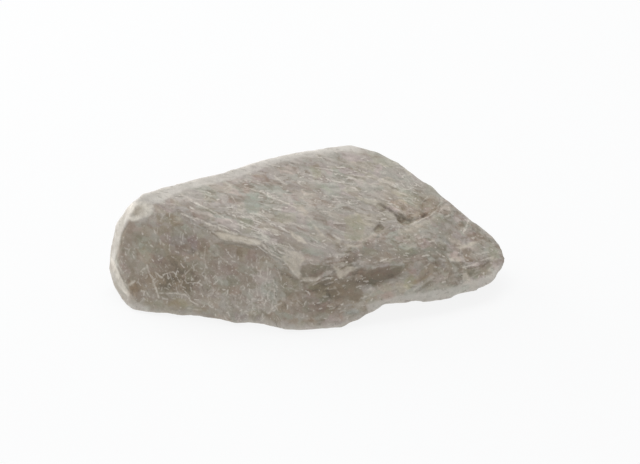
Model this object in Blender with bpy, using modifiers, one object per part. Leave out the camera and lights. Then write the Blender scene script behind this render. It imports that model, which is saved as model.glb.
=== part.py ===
"""Limestone: one loose, smooth-worn stone, faceted and striated like a pebble out of till.

One solid, resting on its flat underside. Millimetres in the tables, metres in the scene,
+Z up, the long axis along X. The block is the convex hull of its corners; the hollows and
the raised right end are cut from it, the edges are then worn round and the base cut flat.
"""
import math

import bmesh
import bpy
from mathutils import Matrix, Vector

MM = 0.001

# ---------------------------------------------------------------- driving dimensions, mm
GRID = 0.80          # cell of the remesh that lets the edges be worn
WEAR_PASSES = 7      # smoothing passes on the worn block, about 1 mm of edge radius
LATE_PASSES = 3      # on the later breaks, which stay crisp
TRIANGLES = 8800     # budget of the finished solid
ROLL = 0.8           # depth of the slow undulation of every face
ROLL_LENGTH = 17.0
RIPPLE = 0.25        # depth of the finer unevenness
RIPPLE_LENGTH = 4.5

# the top face: a plane that leans to the front
TOP_CORNERS = [
    (-45.0, -9.5, 32.0), (-39.0, -7.0, 32.5), (-28.5, -1.5, 33.0), (-10.0, 8.5, 33.5),
    (-3.0, 12.0, 33.5), (12.5, 19.5, 32.0),
    (-41.0, -12.0, 30.0), (-33.5, -14.5, 28.5), (-20.5, -18.5, 26.0), (-12.0, -20.5, 24.5),
]
# the broken edge between the top and the front face
RIDGE = [
    (-22.5, -20.5, 24.0), (-12.0, -22.5, 22.5), (-6.0, -24.5, 18.5), (-1.5, -26.0, 14.5),
    (7.5, -24.0, 15.0), (15.5, -21.5, 16.0), (26.0, -18.0, 15.0), (37.5, -14.0, 13.5),
    (51.5, -6.0, 9.5),
]
# the right edge, from the highest corner down to the tip
RIGHT_EDGE = [
    (20.5, 17.0, 30.5), (25.0, 15.0, 29.0), (34.5, 11.0, 23.5), (37.5, 8.0, 18.5),
    (50.0, 3.5, 13.0), (55.0, 2.0, 9.5), (56.5, -3.5, 7.5), (54.5, -7.5, 6.0),
]
# the blunt left end
LEFT_END = [
    (-49.5, -11.0, 23.5), (-52.0, -13.0, 14.0), (-49.5, -6.5, 26.0), (-53.0, -5.5, 20.0),
    (-55.0, -5.0, 12.5), (-55.5, -6.0, 6.0), (-54.5, -10.0, 4.5), (-52.0, -14.5, 0.5),
]
# where the front meets the ground, left to right, and the worn sole behind it
FOOT = [
    (-48.0, -19.0, 0.5), (-34.5, -20.0, 1.0), (-21.5, -23.5, 1.0), (-5.5, -30.0, 1.0),
    (4.5, -29.0, 1.0), (11.5, -27.0, 1.0), (20.0, -24.5, 1.0), (37.5, -20.5, 2.0),
    (46.5, -16.5, 3.0), (52.5, -12.0, 5.0),
]
SOLE = [
    (-50.0, -8.0, -0.5), (-45.0, -16.5, -0.5), (-20.0, -22.0, -0.5), (2.0, -27.5, -0.5),
    (20.0, -20.0, -0.5), (24.0, 14.0, -0.5), (-16.0, 19.0, -0.5), (-44.0, 2.0, -0.5),
]
# the far side
FAR_SIDE = [
    (-48.0, 4.0, 4.0), (-18.0, 23.0, 4.0), (14.0, 27.5, 5.0), (34.0, 20.0, 6.0),
    (-47.0, 6.0, 12.0), (-20.0, 27.0, 12.0), (18.0, 29.5, 14.0), (16.0, 29.0, 24.0),
    (44.0, 14.0, 7.0), (52.0, 6.5, 6.0),
]

# under the right end the stone is lifted off the ground: profile along X and Z, and how
# far the line where it lifts runs aslant, in X per Y
LIFT_PROFILE = [(10.0, -3.0), (11.0, 0.0), (20.5, 4.5), (28.0, 3.5), (60.0, 2.5), (60.0, -3.0)]
LIFT_SLANT = 0.22

# old hollows, worn with the block: centre, half axes, turn about Z, Y and X in degrees
OLD_HOLLOWS = {
    "cut_undercut": ((21.5, -28.3, 12.4), (17.0, 8.5, 4.4), (19.0, 3.0, 0.0)),
    "cut_front_dish": ((4.5, -37.0, 7.5), (9.0, 10.0, 7.5), (8.0, 0.0, 0.0)),
    "cut_far_dish": ((-14.0, 36.0, 19.0), (20.0, 14.0, 11.0), (28.0, 0.0, -20.0)),
    "cut_far_scoop": ((32.0, 42.0, 8.0), (24.0, 22.5, 14.0), (-25.0, 0.0, 0.0)),
    "cut_foot_dish": ((-31.5, -36.0, 2.0), (13.0, 14.5, 14.0), (-9.0, 0.0, 0.0)),
    "cut_foot_dish_right": ((-14.5, -38.0, 2.0), (10.0, 13.0, 14.0), (-12.0, 0.0, 0.0)),
}
# slabs that came away on the far side
OLD_SLABS = {
    "cut_far_step": [
        (-17.0, 10.5, 29.5), (26.0, 25.0, 30.5), (-20.0, 22.5, 16.0), (28.0, 24.0, 17.5),
        (-24.0, 34.0, 14.5), (34.0, 36.0, 15.5), (-24.0, 28.0, 36.0), (34.0, 32.0, 38.0),
    ],
}
# later breaks with crisper edges
LATE_HOLLOWS = {
    "cut_top_pit": ((20.6, -7.2, 21.0), (1.0, 2.4, 1.6), (35.0, 0.0, 25.0)),
    "cut_shoulder_pit": ((-46.5, -11.5, 27.0), (1.3, 1.6, 1.6), (20.0, 0.0, 30.0)),
    "cut_far_chip": ((-36.0, 6.0, 27.0), (5.0, 4.5, 3.0), (25.0, 0.0, -30.0)),
    "cut_far_chip_low": ((2.0, 26.5, 1.5), (7.0, 4.0, 2.6), (10.0, 0.0, 0.0)),
}
# the V-shaped break near the right end of the top: its deep line, then where it runs out
BREAK_DEEP = [
    (20.2, 0.8, 23.2), (24.3, -1.8, 19.6), (26.6, -2.2, 17.9), (31.0, 0.8, 17.5),
    (34.8, 4.3, 18.4), (37.4, 8.3, 20.0),
]
BREAK_RUNOUT = [(22.0, 5.5, 26.5), (29.0, 8.5, 26.0), (35.0, 11.0, 24.5)]
BREAK_RISE = (1.0, -1.0, 5.0)      # how its near wall stands


def clear_scene():
    for ob in list(bpy.data.objects):
        bpy.data.objects.remove(ob, do_unlink=True)


def collection(name):
    coll = bpy.data.collections.new(name)
    bpy.context.scene.collection.children.link(coll)
    return coll


def hull_object(name, points, coll):
    """closed convex body of a set of corners"""
    bm = bmesh.new()
    for p in points:
        bm.verts.new(Vector(p) * MM)
    res = bmesh.ops.convex_hull(bm, input=bm.verts, use_existing_faces=False)
    inner = [e for e in res["geom_interior"] if isinstance(e, bmesh.types.BMVert)]
    bmesh.ops.delete(bm, geom=inner, context="VERTS")
    bmesh.ops.recalc_face_normals(bm, faces=bm.faces)
    me = bpy.data.meshes.new(name)
    bm.to_mesh(me)
    bm.free()
    ob = bpy.data.objects.new(name, me)
    coll.objects.link(ob)
    return ob


def hollow(name, centre, half, turn, coll):
    """ellipsoid that scoops a hollow"""
    bm = bmesh.new()
    bmesh.ops.create_icosphere(bm, subdivisions=4, radius=1.0)
    size = Matrix.Diagonal(Vector(half) * MM).to_4x4()
    bmesh.ops.transform(bm, matrix=size, verts=bm.verts)
    me = bpy.data.meshes.new(name)
    bm.to_mesh(me)
    bm.free()
    ob = bpy.data.objects.new(name, me)
    ob.location = Vector(centre) * MM
    ob.rotation_euler = [math.radians(turn[2]), math.radians(turn[1]), math.radians(turn[0])]
    coll.objects.link(ob)
    return ob


def stone_material():
    mat = bpy.data.materials.new("limestone")
    mat.use_nodes = True
    bsdf = mat.node_tree.nodes["Principled BSDF"]
    bsdf.inputs["Base Color"].default_value = (0.32, 0.285, 0.245, 1.0)
    bsdf.inputs["Roughness"].default_value = 0.72
    bsdf.inputs["Metallic"].default_value = 0.0
    return mat


def cut(ob, cutter):
    m = ob.modifiers.new(cutter.name, "BOOLEAN")
    m.operation = "DIFFERENCE"
    m.solver = "MANIFOLD"
    m.object = cutter


def cells(ob, name, size):
    m = ob.modifiers.new(name, "REMESH")
    m.mode = "VOXEL"
    m.voxel_size = size * MM


def worn(ob, name, passes):
    m = ob.modifiers.new(name, "SMOOTH")
    m.factor = 0.5
    m.iterations = passes


def uneven(ob, name, depth, length):
    tex = bpy.data.textures.new(name, type="CLOUDS")
    tex.noise_scale = length * MM
    tex.noise_depth = 1
    m = ob.modifiers.new(name, "DISPLACE")
    m.texture = tex
    m.texture_coords = "LOCAL"
    m.strength = depth * MM
    m.mid_level = 0.5


def main():
    clear_scene()
    stone_coll = collection("limestone_stone")
    cut_coll = collection("cutters")

    stone = hull_object(
        "limestone", TOP_CORNERS + RIDGE + RIGHT_EDGE + LEFT_END + FOOT + SOLE + FAR_SIDE, stone_coll)
    stone.data.materials.append(stone_material())

    lift = [(x + LIFT_SLANT * (y + 26.0), y, z) for x, z in LIFT_PROFILE for y in (-45.0, 45.0)]
    old = [hull_object("cut_lift", lift, cut_coll)]
    old += [hollow(name, *dims, cut_coll) for name, dims in OLD_HOLLOWS.items()]
    old += [hull_object(name, points, cut_coll) for name, points in OLD_SLABS.items()]
    late = [hollow(name, *dims, cut_coll) for name, dims in LATE_HOLLOWS.items()]
    raised = [Vector(p) + Vector(BREAK_RISE) for p in BREAK_DEEP + BREAK_RUNOUT]
    late.append(hull_object("cut_break", BREAK_DEEP + BREAK_RUNOUT + raised, cut_coll))
    ground = [(x, y, z) for x in (-80.0, 80.0) for y in (-60.0, 60.0) for z in (-20.0, 0.0)]
    floor_cut = hull_object("cut_ground", ground, cut_coll)
    for ob in old + late + [floor_cut]:
        ob.hide_render = True
        ob.display_type = "WIRE"

    for ob in old:
        cut(stone, ob)
    cells(stone, "cells", GRID)
    worn(stone, "wear", WEAR_PASSES)
    uneven(stone, "roll", ROLL, ROLL_LENGTH)
    for ob in late:
        cut(stone, ob)
    cells(stone, "cells_late", GRID)
    worn(stone, "wear_late", LATE_PASSES)
    uneven(stone, "ripple", RIPPLE, RIPPLE_LENGTH)
    m = stone.modifiers.new("budget", "DECIMATE")
    m.ratio = 0.5
    cut(stone, floor_cut)

    # trim the budget to the triangle count that the wear step gives
    deps = bpy.context.evaluated_depsgraph_get()
    tris = sum(len(p.vertices) - 2 for p in stone.evaluated_get(deps).data.polygons)
    stone.modifiers["budget"].ratio = min(1.0, 0.5 * TRIANGLES / tris)
    return stone


main()
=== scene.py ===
import math

import bmesh
import bpy
import numpy as np
from mathutils import Matrix, Vector
from mathutils.kdtree import KDTree


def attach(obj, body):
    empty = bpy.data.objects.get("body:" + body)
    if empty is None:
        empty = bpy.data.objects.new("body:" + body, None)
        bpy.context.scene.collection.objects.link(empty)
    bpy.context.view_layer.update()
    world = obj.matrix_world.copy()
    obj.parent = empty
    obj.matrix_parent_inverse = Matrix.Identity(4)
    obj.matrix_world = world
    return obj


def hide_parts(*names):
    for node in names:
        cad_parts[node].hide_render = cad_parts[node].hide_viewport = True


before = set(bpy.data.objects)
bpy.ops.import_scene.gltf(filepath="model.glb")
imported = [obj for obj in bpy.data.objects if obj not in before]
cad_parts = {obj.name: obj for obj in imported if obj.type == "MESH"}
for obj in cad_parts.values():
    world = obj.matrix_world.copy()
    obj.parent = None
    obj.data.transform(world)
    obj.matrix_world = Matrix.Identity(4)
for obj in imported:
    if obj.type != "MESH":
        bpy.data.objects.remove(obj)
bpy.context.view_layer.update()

MM = 0.001

# =====================================================================================
# 1. The stone's shape: the same corners, hollows and breaks as the CAD solid, in mm,
#    remeshed finer and then given its small relief.
# =====================================================================================
CELL_BLOCK = 0.42
CELL_FINE = 0.33
WEAR_PASSES = 24
LATE_PASSES = 6
TRIANGLES = 186000
ROLL, ROLL_LENGTH = 0.8, 17.0
RIPPLE, RIPPLE_LENGTH = 0.25, 4.5

# the top face: a plane that leans to the front
TOP_CORNERS = [
    (-45.0, -9.5, 32.0), (-39.0, -7.0, 32.5), (-28.5, -1.5, 33.0), (-10.0, 8.5, 33.5),
    (-3.0, 12.0, 33.5), (12.5, 19.5, 32.0),
    (-41.0, -12.0, 30.0), (-33.5, -14.5, 28.5), (-20.5, -18.5, 26.0), (-12.0, -20.5, 24.5),
]
# the broken edge between the top and the front face
RIDGE = [
    (-22.5, -20.5, 24.0), (-12.0, -22.5, 22.5), (-6.0, -24.5, 18.5), (-1.5, -26.0, 14.5),
    (7.5, -24.0, 15.0), (15.5, -21.5, 16.0), (26.0, -18.0, 15.0), (37.5, -14.0, 13.5),
    (51.5, -6.0, 9.5),
]
# the right edge, from the highest corner down to the tip
RIGHT_EDGE = [
    (20.5, 17.0, 30.5), (25.0, 15.0, 29.0), (34.5, 11.0, 23.5), (37.5, 8.0, 18.5),
    (50.0, 3.5, 13.0), (55.0, 2.0, 9.5), (56.5, -3.5, 7.5), (54.5, -7.5, 6.0),
]
# the blunt left end
LEFT_END = [
    (-49.5, -11.0, 23.5), (-52.0, -13.0, 14.0), (-49.5, -6.5, 26.0), (-53.0, -5.5, 20.0),
    (-55.0, -5.0, 12.5), (-55.5, -6.0, 6.0), (-54.5, -10.0, 4.5), (-52.0, -14.5, 0.5),
]
# where the front meets the ground, left to right, and the worn sole behind it
FOOT = [
    (-48.0, -19.0, 0.5), (-34.5, -20.0, 1.0), (-21.5, -23.5, 1.0), (-5.5, -30.0, 1.0),
    (4.5, -29.0, 1.0), (11.5, -27.0, 1.0), (20.0, -24.5, 1.0), (37.5, -20.5, 2.0),
    (46.5, -16.5, 3.0), (52.5, -12.0, 5.0),
]
SOLE = [
    (-50.0, -8.0, -0.5), (-45.0, -16.5, -0.5), (-20.0, -22.0, -0.5), (2.0, -27.5, -0.5),
    (20.0, -20.0, -0.5), (24.0, 14.0, -0.5), (-16.0, 19.0, -0.5), (-44.0, 2.0, -0.5),
]
# the far side
FAR_SIDE = [
    (-48.0, 4.0, 4.0), (-18.0, 23.0, 4.0), (14.0, 27.5, 5.0), (34.0, 20.0, 6.0),
    (-47.0, 6.0, 12.0), (-20.0, 27.0, 12.0), (18.0, 29.5, 14.0), (16.0, 29.0, 24.0),
    (44.0, 14.0, 7.0), (52.0, 6.5, 6.0),
]

# under the right end the stone is lifted off the ground: profile along X and Z, and how
# far the line where it lifts runs aslant, in X per Y
LIFT_PROFILE = [(10.0, -3.0), (11.0, 0.0), (20.5, 4.5), (28.0, 3.5), (60.0, 2.5), (60.0, -3.0)]
LIFT_SLANT = 0.22

# old hollows, worn with the block: centre, half axes, turn about Z, Y and X in degrees
OLD_HOLLOWS = {
    "cut_undercut": ((21.5, -28.3, 12.4), (17.0, 8.5, 4.4), (19.0, 3.0, 0.0)),
    "cut_front_dish": ((4.5, -37.0, 7.5), (9.0, 10.0, 7.5), (8.0, 0.0, 0.0)),
    "cut_far_dish": ((-14.0, 36.0, 19.0), (20.0, 14.0, 11.0), (28.0, 0.0, -20.0)),
    "cut_far_scoop": ((32.0, 42.0, 8.0), (24.0, 22.5, 14.0), (-25.0, 0.0, 0.0)),
    "cut_foot_dish": ((-31.5, -36.0, 2.0), (13.0, 14.5, 14.0), (-9.0, 0.0, 0.0)),
    "cut_foot_dish_right": ((-14.5, -38.0, 2.0), (10.0, 13.0, 14.0), (-12.0, 0.0, 0.0)),
}
# slabs that came away on the far side
OLD_SLABS = {
    "cut_far_step": [
        (-17.0, 10.5, 29.5), (26.0, 25.0, 30.5), (-20.0, 22.5, 16.0), (28.0, 24.0, 17.5),
        (-24.0, 34.0, 14.5), (34.0, 36.0, 15.5), (-24.0, 28.0, 36.0), (34.0, 32.0, 38.0),
    ],
}
# later breaks with crisper edges
LATE_HOLLOWS = {
    "cut_top_pit": ((20.6, -7.2, 21.0), (1.0, 2.4, 1.6), (35.0, 0.0, 25.0)),
    "cut_shoulder_pit": ((-46.5, -11.5, 27.0), (1.3, 1.6, 1.6), (20.0, 0.0, 30.0)),
    "cut_far_chip": ((-36.0, 6.0, 27.0), (5.0, 4.5, 3.0), (25.0, 0.0, -30.0)),
    "cut_far_chip_low": ((2.0, 26.5, 1.5), (7.0, 4.0, 2.6), (10.0, 0.0, 0.0)),
}
# direction of the bedding seen in the broken ground, and of the striations on the top face
BED = np.array([0.965, 0.06, 0.19])
BED /= np.linalg.norm(BED)
STREAK = np.array([0.955, -0.15, -0.21])
STREAK /= np.linalg.norm(STREAK)
TOP_NORMAL = np.array([0.22, -0.36, 0.91])


def hull_object(name, points):
    bm = bmesh.new()
    for p in points:
        bm.verts.new(Vector(p) * MM)
    res = bmesh.ops.convex_hull(bm, input=bm.verts, use_existing_faces=False)
    inner = [e for e in res["geom_interior"] if isinstance(e, bmesh.types.BMVert)]
    bmesh.ops.delete(bm, geom=inner, context="VERTS")
    bmesh.ops.recalc_face_normals(bm, faces=bm.faces)
    me = bpy.data.meshes.new(name)
    bm.to_mesh(me)
    bm.free()
    ob = bpy.data.objects.new(name, me)
    bpy.context.scene.collection.objects.link(ob)
    return ob


def hollow(name, centre, half, turn):
    bm = bmesh.new()
    bmesh.ops.create_icosphere(bm, subdivisions=4, radius=1.0)
    bmesh.ops.transform(bm, matrix=Matrix.Diagonal(Vector(half) * MM).to_4x4(), verts=bm.verts)
    me = bpy.data.meshes.new(name)
    bm.to_mesh(me)
    bm.free()
    ob = bpy.data.objects.new(name, me)
    ob.location = Vector(centre) * MM
    ob.rotation_euler = [math.radians(turn[2]), math.radians(turn[1]), math.radians(turn[0])]
    bpy.context.scene.collection.objects.link(ob)
    return ob


def cut(ob, cutter):
    m = ob.modifiers.new(cutter.name, "BOOLEAN")
    m.operation = "DIFFERENCE"
    m.solver = "MANIFOLD"
    m.object = cutter


def cells(ob, name, size):
    m = ob.modifiers.new(name, "REMESH")
    m.mode = "VOXEL"
    m.voxel_size = size * MM


def worn(ob, name, passes):
    m = ob.modifiers.new(name, "SMOOTH")
    m.factor = 0.5
    m.iterations = passes


def uneven(ob, name, depth, length):
    tex = bpy.data.textures.new(name, type="CLOUDS")
    tex.noise_scale = length * MM
    tex.noise_depth = 1
    m = ob.modifiers.new(name, "DISPLACE")
    m.texture = tex
    m.texture_coords = "LOCAL"
    m.strength = depth * MM
    m.mid_level = 0.5


def evaluated(ob):
    bpy.context.view_layer.update()
    deps = bpy.context.evaluated_depsgraph_get()
    return bpy.data.meshes.new_from_object(ob.evaluated_get(deps), depsgraph=deps)


def stone_mesh():
    block = hull_object("shape_block", TOP_CORNERS + RIDGE + RIGHT_EDGE + LEFT_END + FOOT
                        + SOLE + FAR_SIDE)
    lift = [(x + LIFT_SLANT * (y + 26.0), y, z) for x, z in LIFT_PROFILE for y in (-45.0, 45.0)]
    old = [hull_object("cut_lift", lift)]
    old += [hollow(n, *d) for n, d in OLD_HOLLOWS.items()]
    old += [hull_object(n, pts) for n, pts in OLD_SLABS.items()]
    late = [hollow(n, *d) for n, d in LATE_HOLLOWS.items() if n.startswith("cut_far")]
    for ob in old:
        cut(block, ob)
    cells(block, "cells", CELL_BLOCK)
    worn(block, "wear", WEAR_PASSES)
    uneven(block, "roll", ROLL, ROLL_LENGTH)
    for ob in late:
        cut(block, ob)
    cells(block, "cells_late", CELL_FINE)
    worn(block, "wear_late", LATE_PASSES)
    uneven(block, "ripple", RIPPLE, RIPPLE_LENGTH)
    me = evaluated(block)
    for ob in [block] + old + late:
        data = ob.data
        bpy.data.objects.remove(ob, do_unlink=True)
        bpy.data.meshes.remove(data)
    return me


# ------------------------------------------------------------------------ arrays and noise
def coords(me):
    a = np.empty(len(me.vertices) * 3)
    me.vertices.foreach_get("co", a)
    return a.reshape(-1, 3) / MM


def normals(me):
    a = np.empty(len(me.vertices) * 3)
    me.vertex_normals.foreach_get("vector", a)
    return a.reshape(-1, 3)


def set_coords(me, V):
    me.vertices.foreach_set("co", (V * MM).astype(np.float32).ravel())
    me.update()


def smooth01(x, lo, hi):
    t = np.clip((x - lo) / (hi - lo), 0.0, 1.0)
    return t * t * (3.0 - 2.0 * t)


def lattice(i, seed):
    h = (i[:, 0].astype(np.uint32) * np.uint32(374761393)
         + i[:, 1].astype(np.uint32) * np.uint32(668265263)
         + i[:, 2].astype(np.uint32) * np.uint32(2147483647)
         + np.uint32((seed * 974711 + 12345) % 4294967291))
    h = (h ^ (h >> np.uint32(13))) * np.uint32(1274126177)
    h = (h ^ (h >> np.uint32(16))) * np.uint32(2246822519)
    h = h ^ (h >> np.uint32(15))
    return h.astype(np.float64) / 2147483648.0 - 1.0


def value_noise(P, seed=0):
    """smooth noise, -1 to 1, one feature per unit"""
    i = np.floor(P).astype(np.int64)
    f = P - i
    f = f * f * f * (f * (f * 6.0 - 15.0) + 10.0)
    out = 0.0
    for dx in (0, 1):
        wx = f[:, 0] if dx else 1.0 - f[:, 0]
        for dy in (0, 1):
            wy = f[:, 1] if dy else 1.0 - f[:, 1]
            for dz in (0, 1):
                wz = f[:, 2] if dz else 1.0 - f[:, 2]
                out = out + wx * wy * wz * lattice(i + np.array([dx, dy, dz]), seed)
    return out


def cellular(P, seed):
    """distance to the nearest scattered point and three random numbers for its cell"""
    i = np.floor(P).astype(np.int64)
    best = np.full(len(P), 1e9)
    cell = i.copy()
    for dx in (-1, 0, 1):
        for dy in (-1, 0, 1):
            for dz in (-1, 0, 1):
                c = i + np.array([dx, dy, dz])
                spot = c + 0.5 + 0.5 * np.stack([lattice(c, seed + k) for k in range(3)], -1)
                d = ((spot - P) ** 2).sum(1)
                near = d < best
                best[near] = d[near]
                cell[near] = c[near]
    pick = np.stack([lattice(cell, seed + 10 + k) for k in range(3)], -1)
    return np.sqrt(best), 0.5 + 0.5 * pick


def fractal(P, octaves, seed):
    out, amp, total = 0.0, 1.0, 0.0
    for k in range(octaves):
        out = out + amp * value_noise(P * 2.0 ** k + 17.3 * k, seed + k)
        total += amp
        amp *= 0.5
    return out / total


# =====================================================================================
# 2. The view the stone is described in: u to the right and v down, in a 640 x 464 frame,
#    seen from 30 degrees above the front. Marks are placed on the stone's surface by it.
# =====================================================================================
FRAME_W, FRAME_H = 640.0, 464.0
LENS, SENSOR = 100.0, 36.0
ELEV = math.radians(30.0)
DISTANCE = 500.0
TARGET = np.array([3.65, 0.0, 14.4])
FORWARD = np.array([0.0, math.cos(ELEV), -math.sin(ELEV)])
UPWARD = np.array([0.0, math.sin(ELEV), math.cos(ELEV)])
EYE = TARGET - FORWARD * DISTANCE


def seen_at(V):
    r = V - EYE
    depth = r @ FORWARD
    f = LENS / SENSOR * FRAME_W
    return np.stack([FRAME_W / 2 + f * r[:, 0] / depth, FRAME_H / 2 - f * (r @ UPWARD) / depth], -1)


def faces_front(V, N):
    r = V - EYE
    return -(N * r).sum(1) / np.linalg.norm(r, axis=1)


def stroke_distance(P, line):
    """distance to a polyline and how far along it the nearest point lies, 0 to 1"""
    pts = np.array(line, float)
    seg = pts[1:] - pts[:-1]
    length = np.linalg.norm(seg, axis=1)
    start = np.concatenate([[0.0], np.cumsum(length)])
    best = np.full(len(P), 1e9)
    where = np.zeros(len(P))
    for a, s, l, s0 in zip(pts[:-1], seg, length, start[:-1]):
        t = np.clip(((P - a) @ s) / (l * l), 0.0, 1.0)
        d = np.linalg.norm(P - a - t[:, None] * s, axis=1)
        near = d < best
        best[near] = d[near]
        where[near] = (s0 + t[near] * l) / start[-1]
    return best, where


def polygon_depth(P, poly):
    """signed distance to a closed outline, positive inside"""
    pts = np.array(poly, float)
    d, _ = stroke_distance(P, np.vstack([pts, pts[:1]]))
    inside = np.zeros(len(P), bool)
    for a, b in zip(pts, np.roll(pts, -1, axis=0)):
        over = (a[1] > P[:, 1]) != (b[1] > P[:, 1])
        with np.errstate(divide="ignore", invalid="ignore"):
            x = (b[0] - a[0]) * (P[:, 1] - a[1]) / (b[1] - a[1]) + a[0]
        inside ^= over & (P[:, 0] < x)
    return np.where(inside, d, -d)


def blob(P, centre, half, turn=0.0):
    """soft oval, 1 in the middle"""
    c, s = math.cos(math.radians(turn)), math.sin(math.radians(turn))
    d = P - np.array(centre, float)
    x = (d[:, 0] * c + d[:, 1] * s) / half[0]
    y = (-d[:, 0] * s + d[:, 1] * c) / half[1]
    return np.exp(-1.2 * (x * x + y * y))


# ------------------------------------------------------------------- marks, in u and v
# pale chips: outline, how pale
CHIPS = [
    ([(214, 232), (224, 233), (237, 236), (250, 238), (262, 242), (261, 245), (250, 244),
      (240, 242), (228, 241), (219, 238)], 0.75),
    ([(281, 258), (287, 253), (295, 252), (302, 255), (306, 260), (301, 263), (299, 268), (300, 274),
      (299, 280), (295, 274), (289, 267)], 0.55),
    ([(300, 279), (308, 278), (317, 277), (321, 274), (322, 277), (316, 282), (305, 283)], 0.50),
    ([(331, 263), (336, 267), (342, 269), (347, 266), (353, 266), (358, 267), (354, 270), (349, 271), (346, 276),
      (340, 278), (337, 275), (336, 270)], 0.62),
    ([(289, 229), (297, 234), (303, 238), (308, 244), (298, 242), (293, 237)], 0.65),
    ([(313, 223), (320, 229), (324, 236), (320, 234), (315, 228)], 0.50),
    ([(397, 229), (410, 225), (423, 220), (433, 216), (434, 219), (424, 224), (410, 231),
      (400, 234)], 0.30),
    ([(455, 248), (465, 244), (470, 242), (478, 241), (475, 245), (464, 249)], 0.75),
    ([(129, 204), (139, 201), (150, 204), (150, 212), (142, 219), (130, 220), (125, 215)], 0.60),
    ([(344, 243), (354, 245), (364, 243), (356, 247), (347, 246)], 0.55),
    ([(178, 216), (182, 219), (177, 222), (174, 219)], 0.35),
    ([(128, 285), (132, 281), (136, 281), (133, 286), (130, 287)], 0.50),
    ([(463, 273), (468, 272), (471, 278), (470, 281), (464, 280)], 0.75),
    ([(487, 257), (493, 256), (493, 260), (488, 260)], 0.65),
    ([(449, 258), (456, 258), (464, 260), (457, 262), (450, 261)], 0.55),
]
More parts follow.
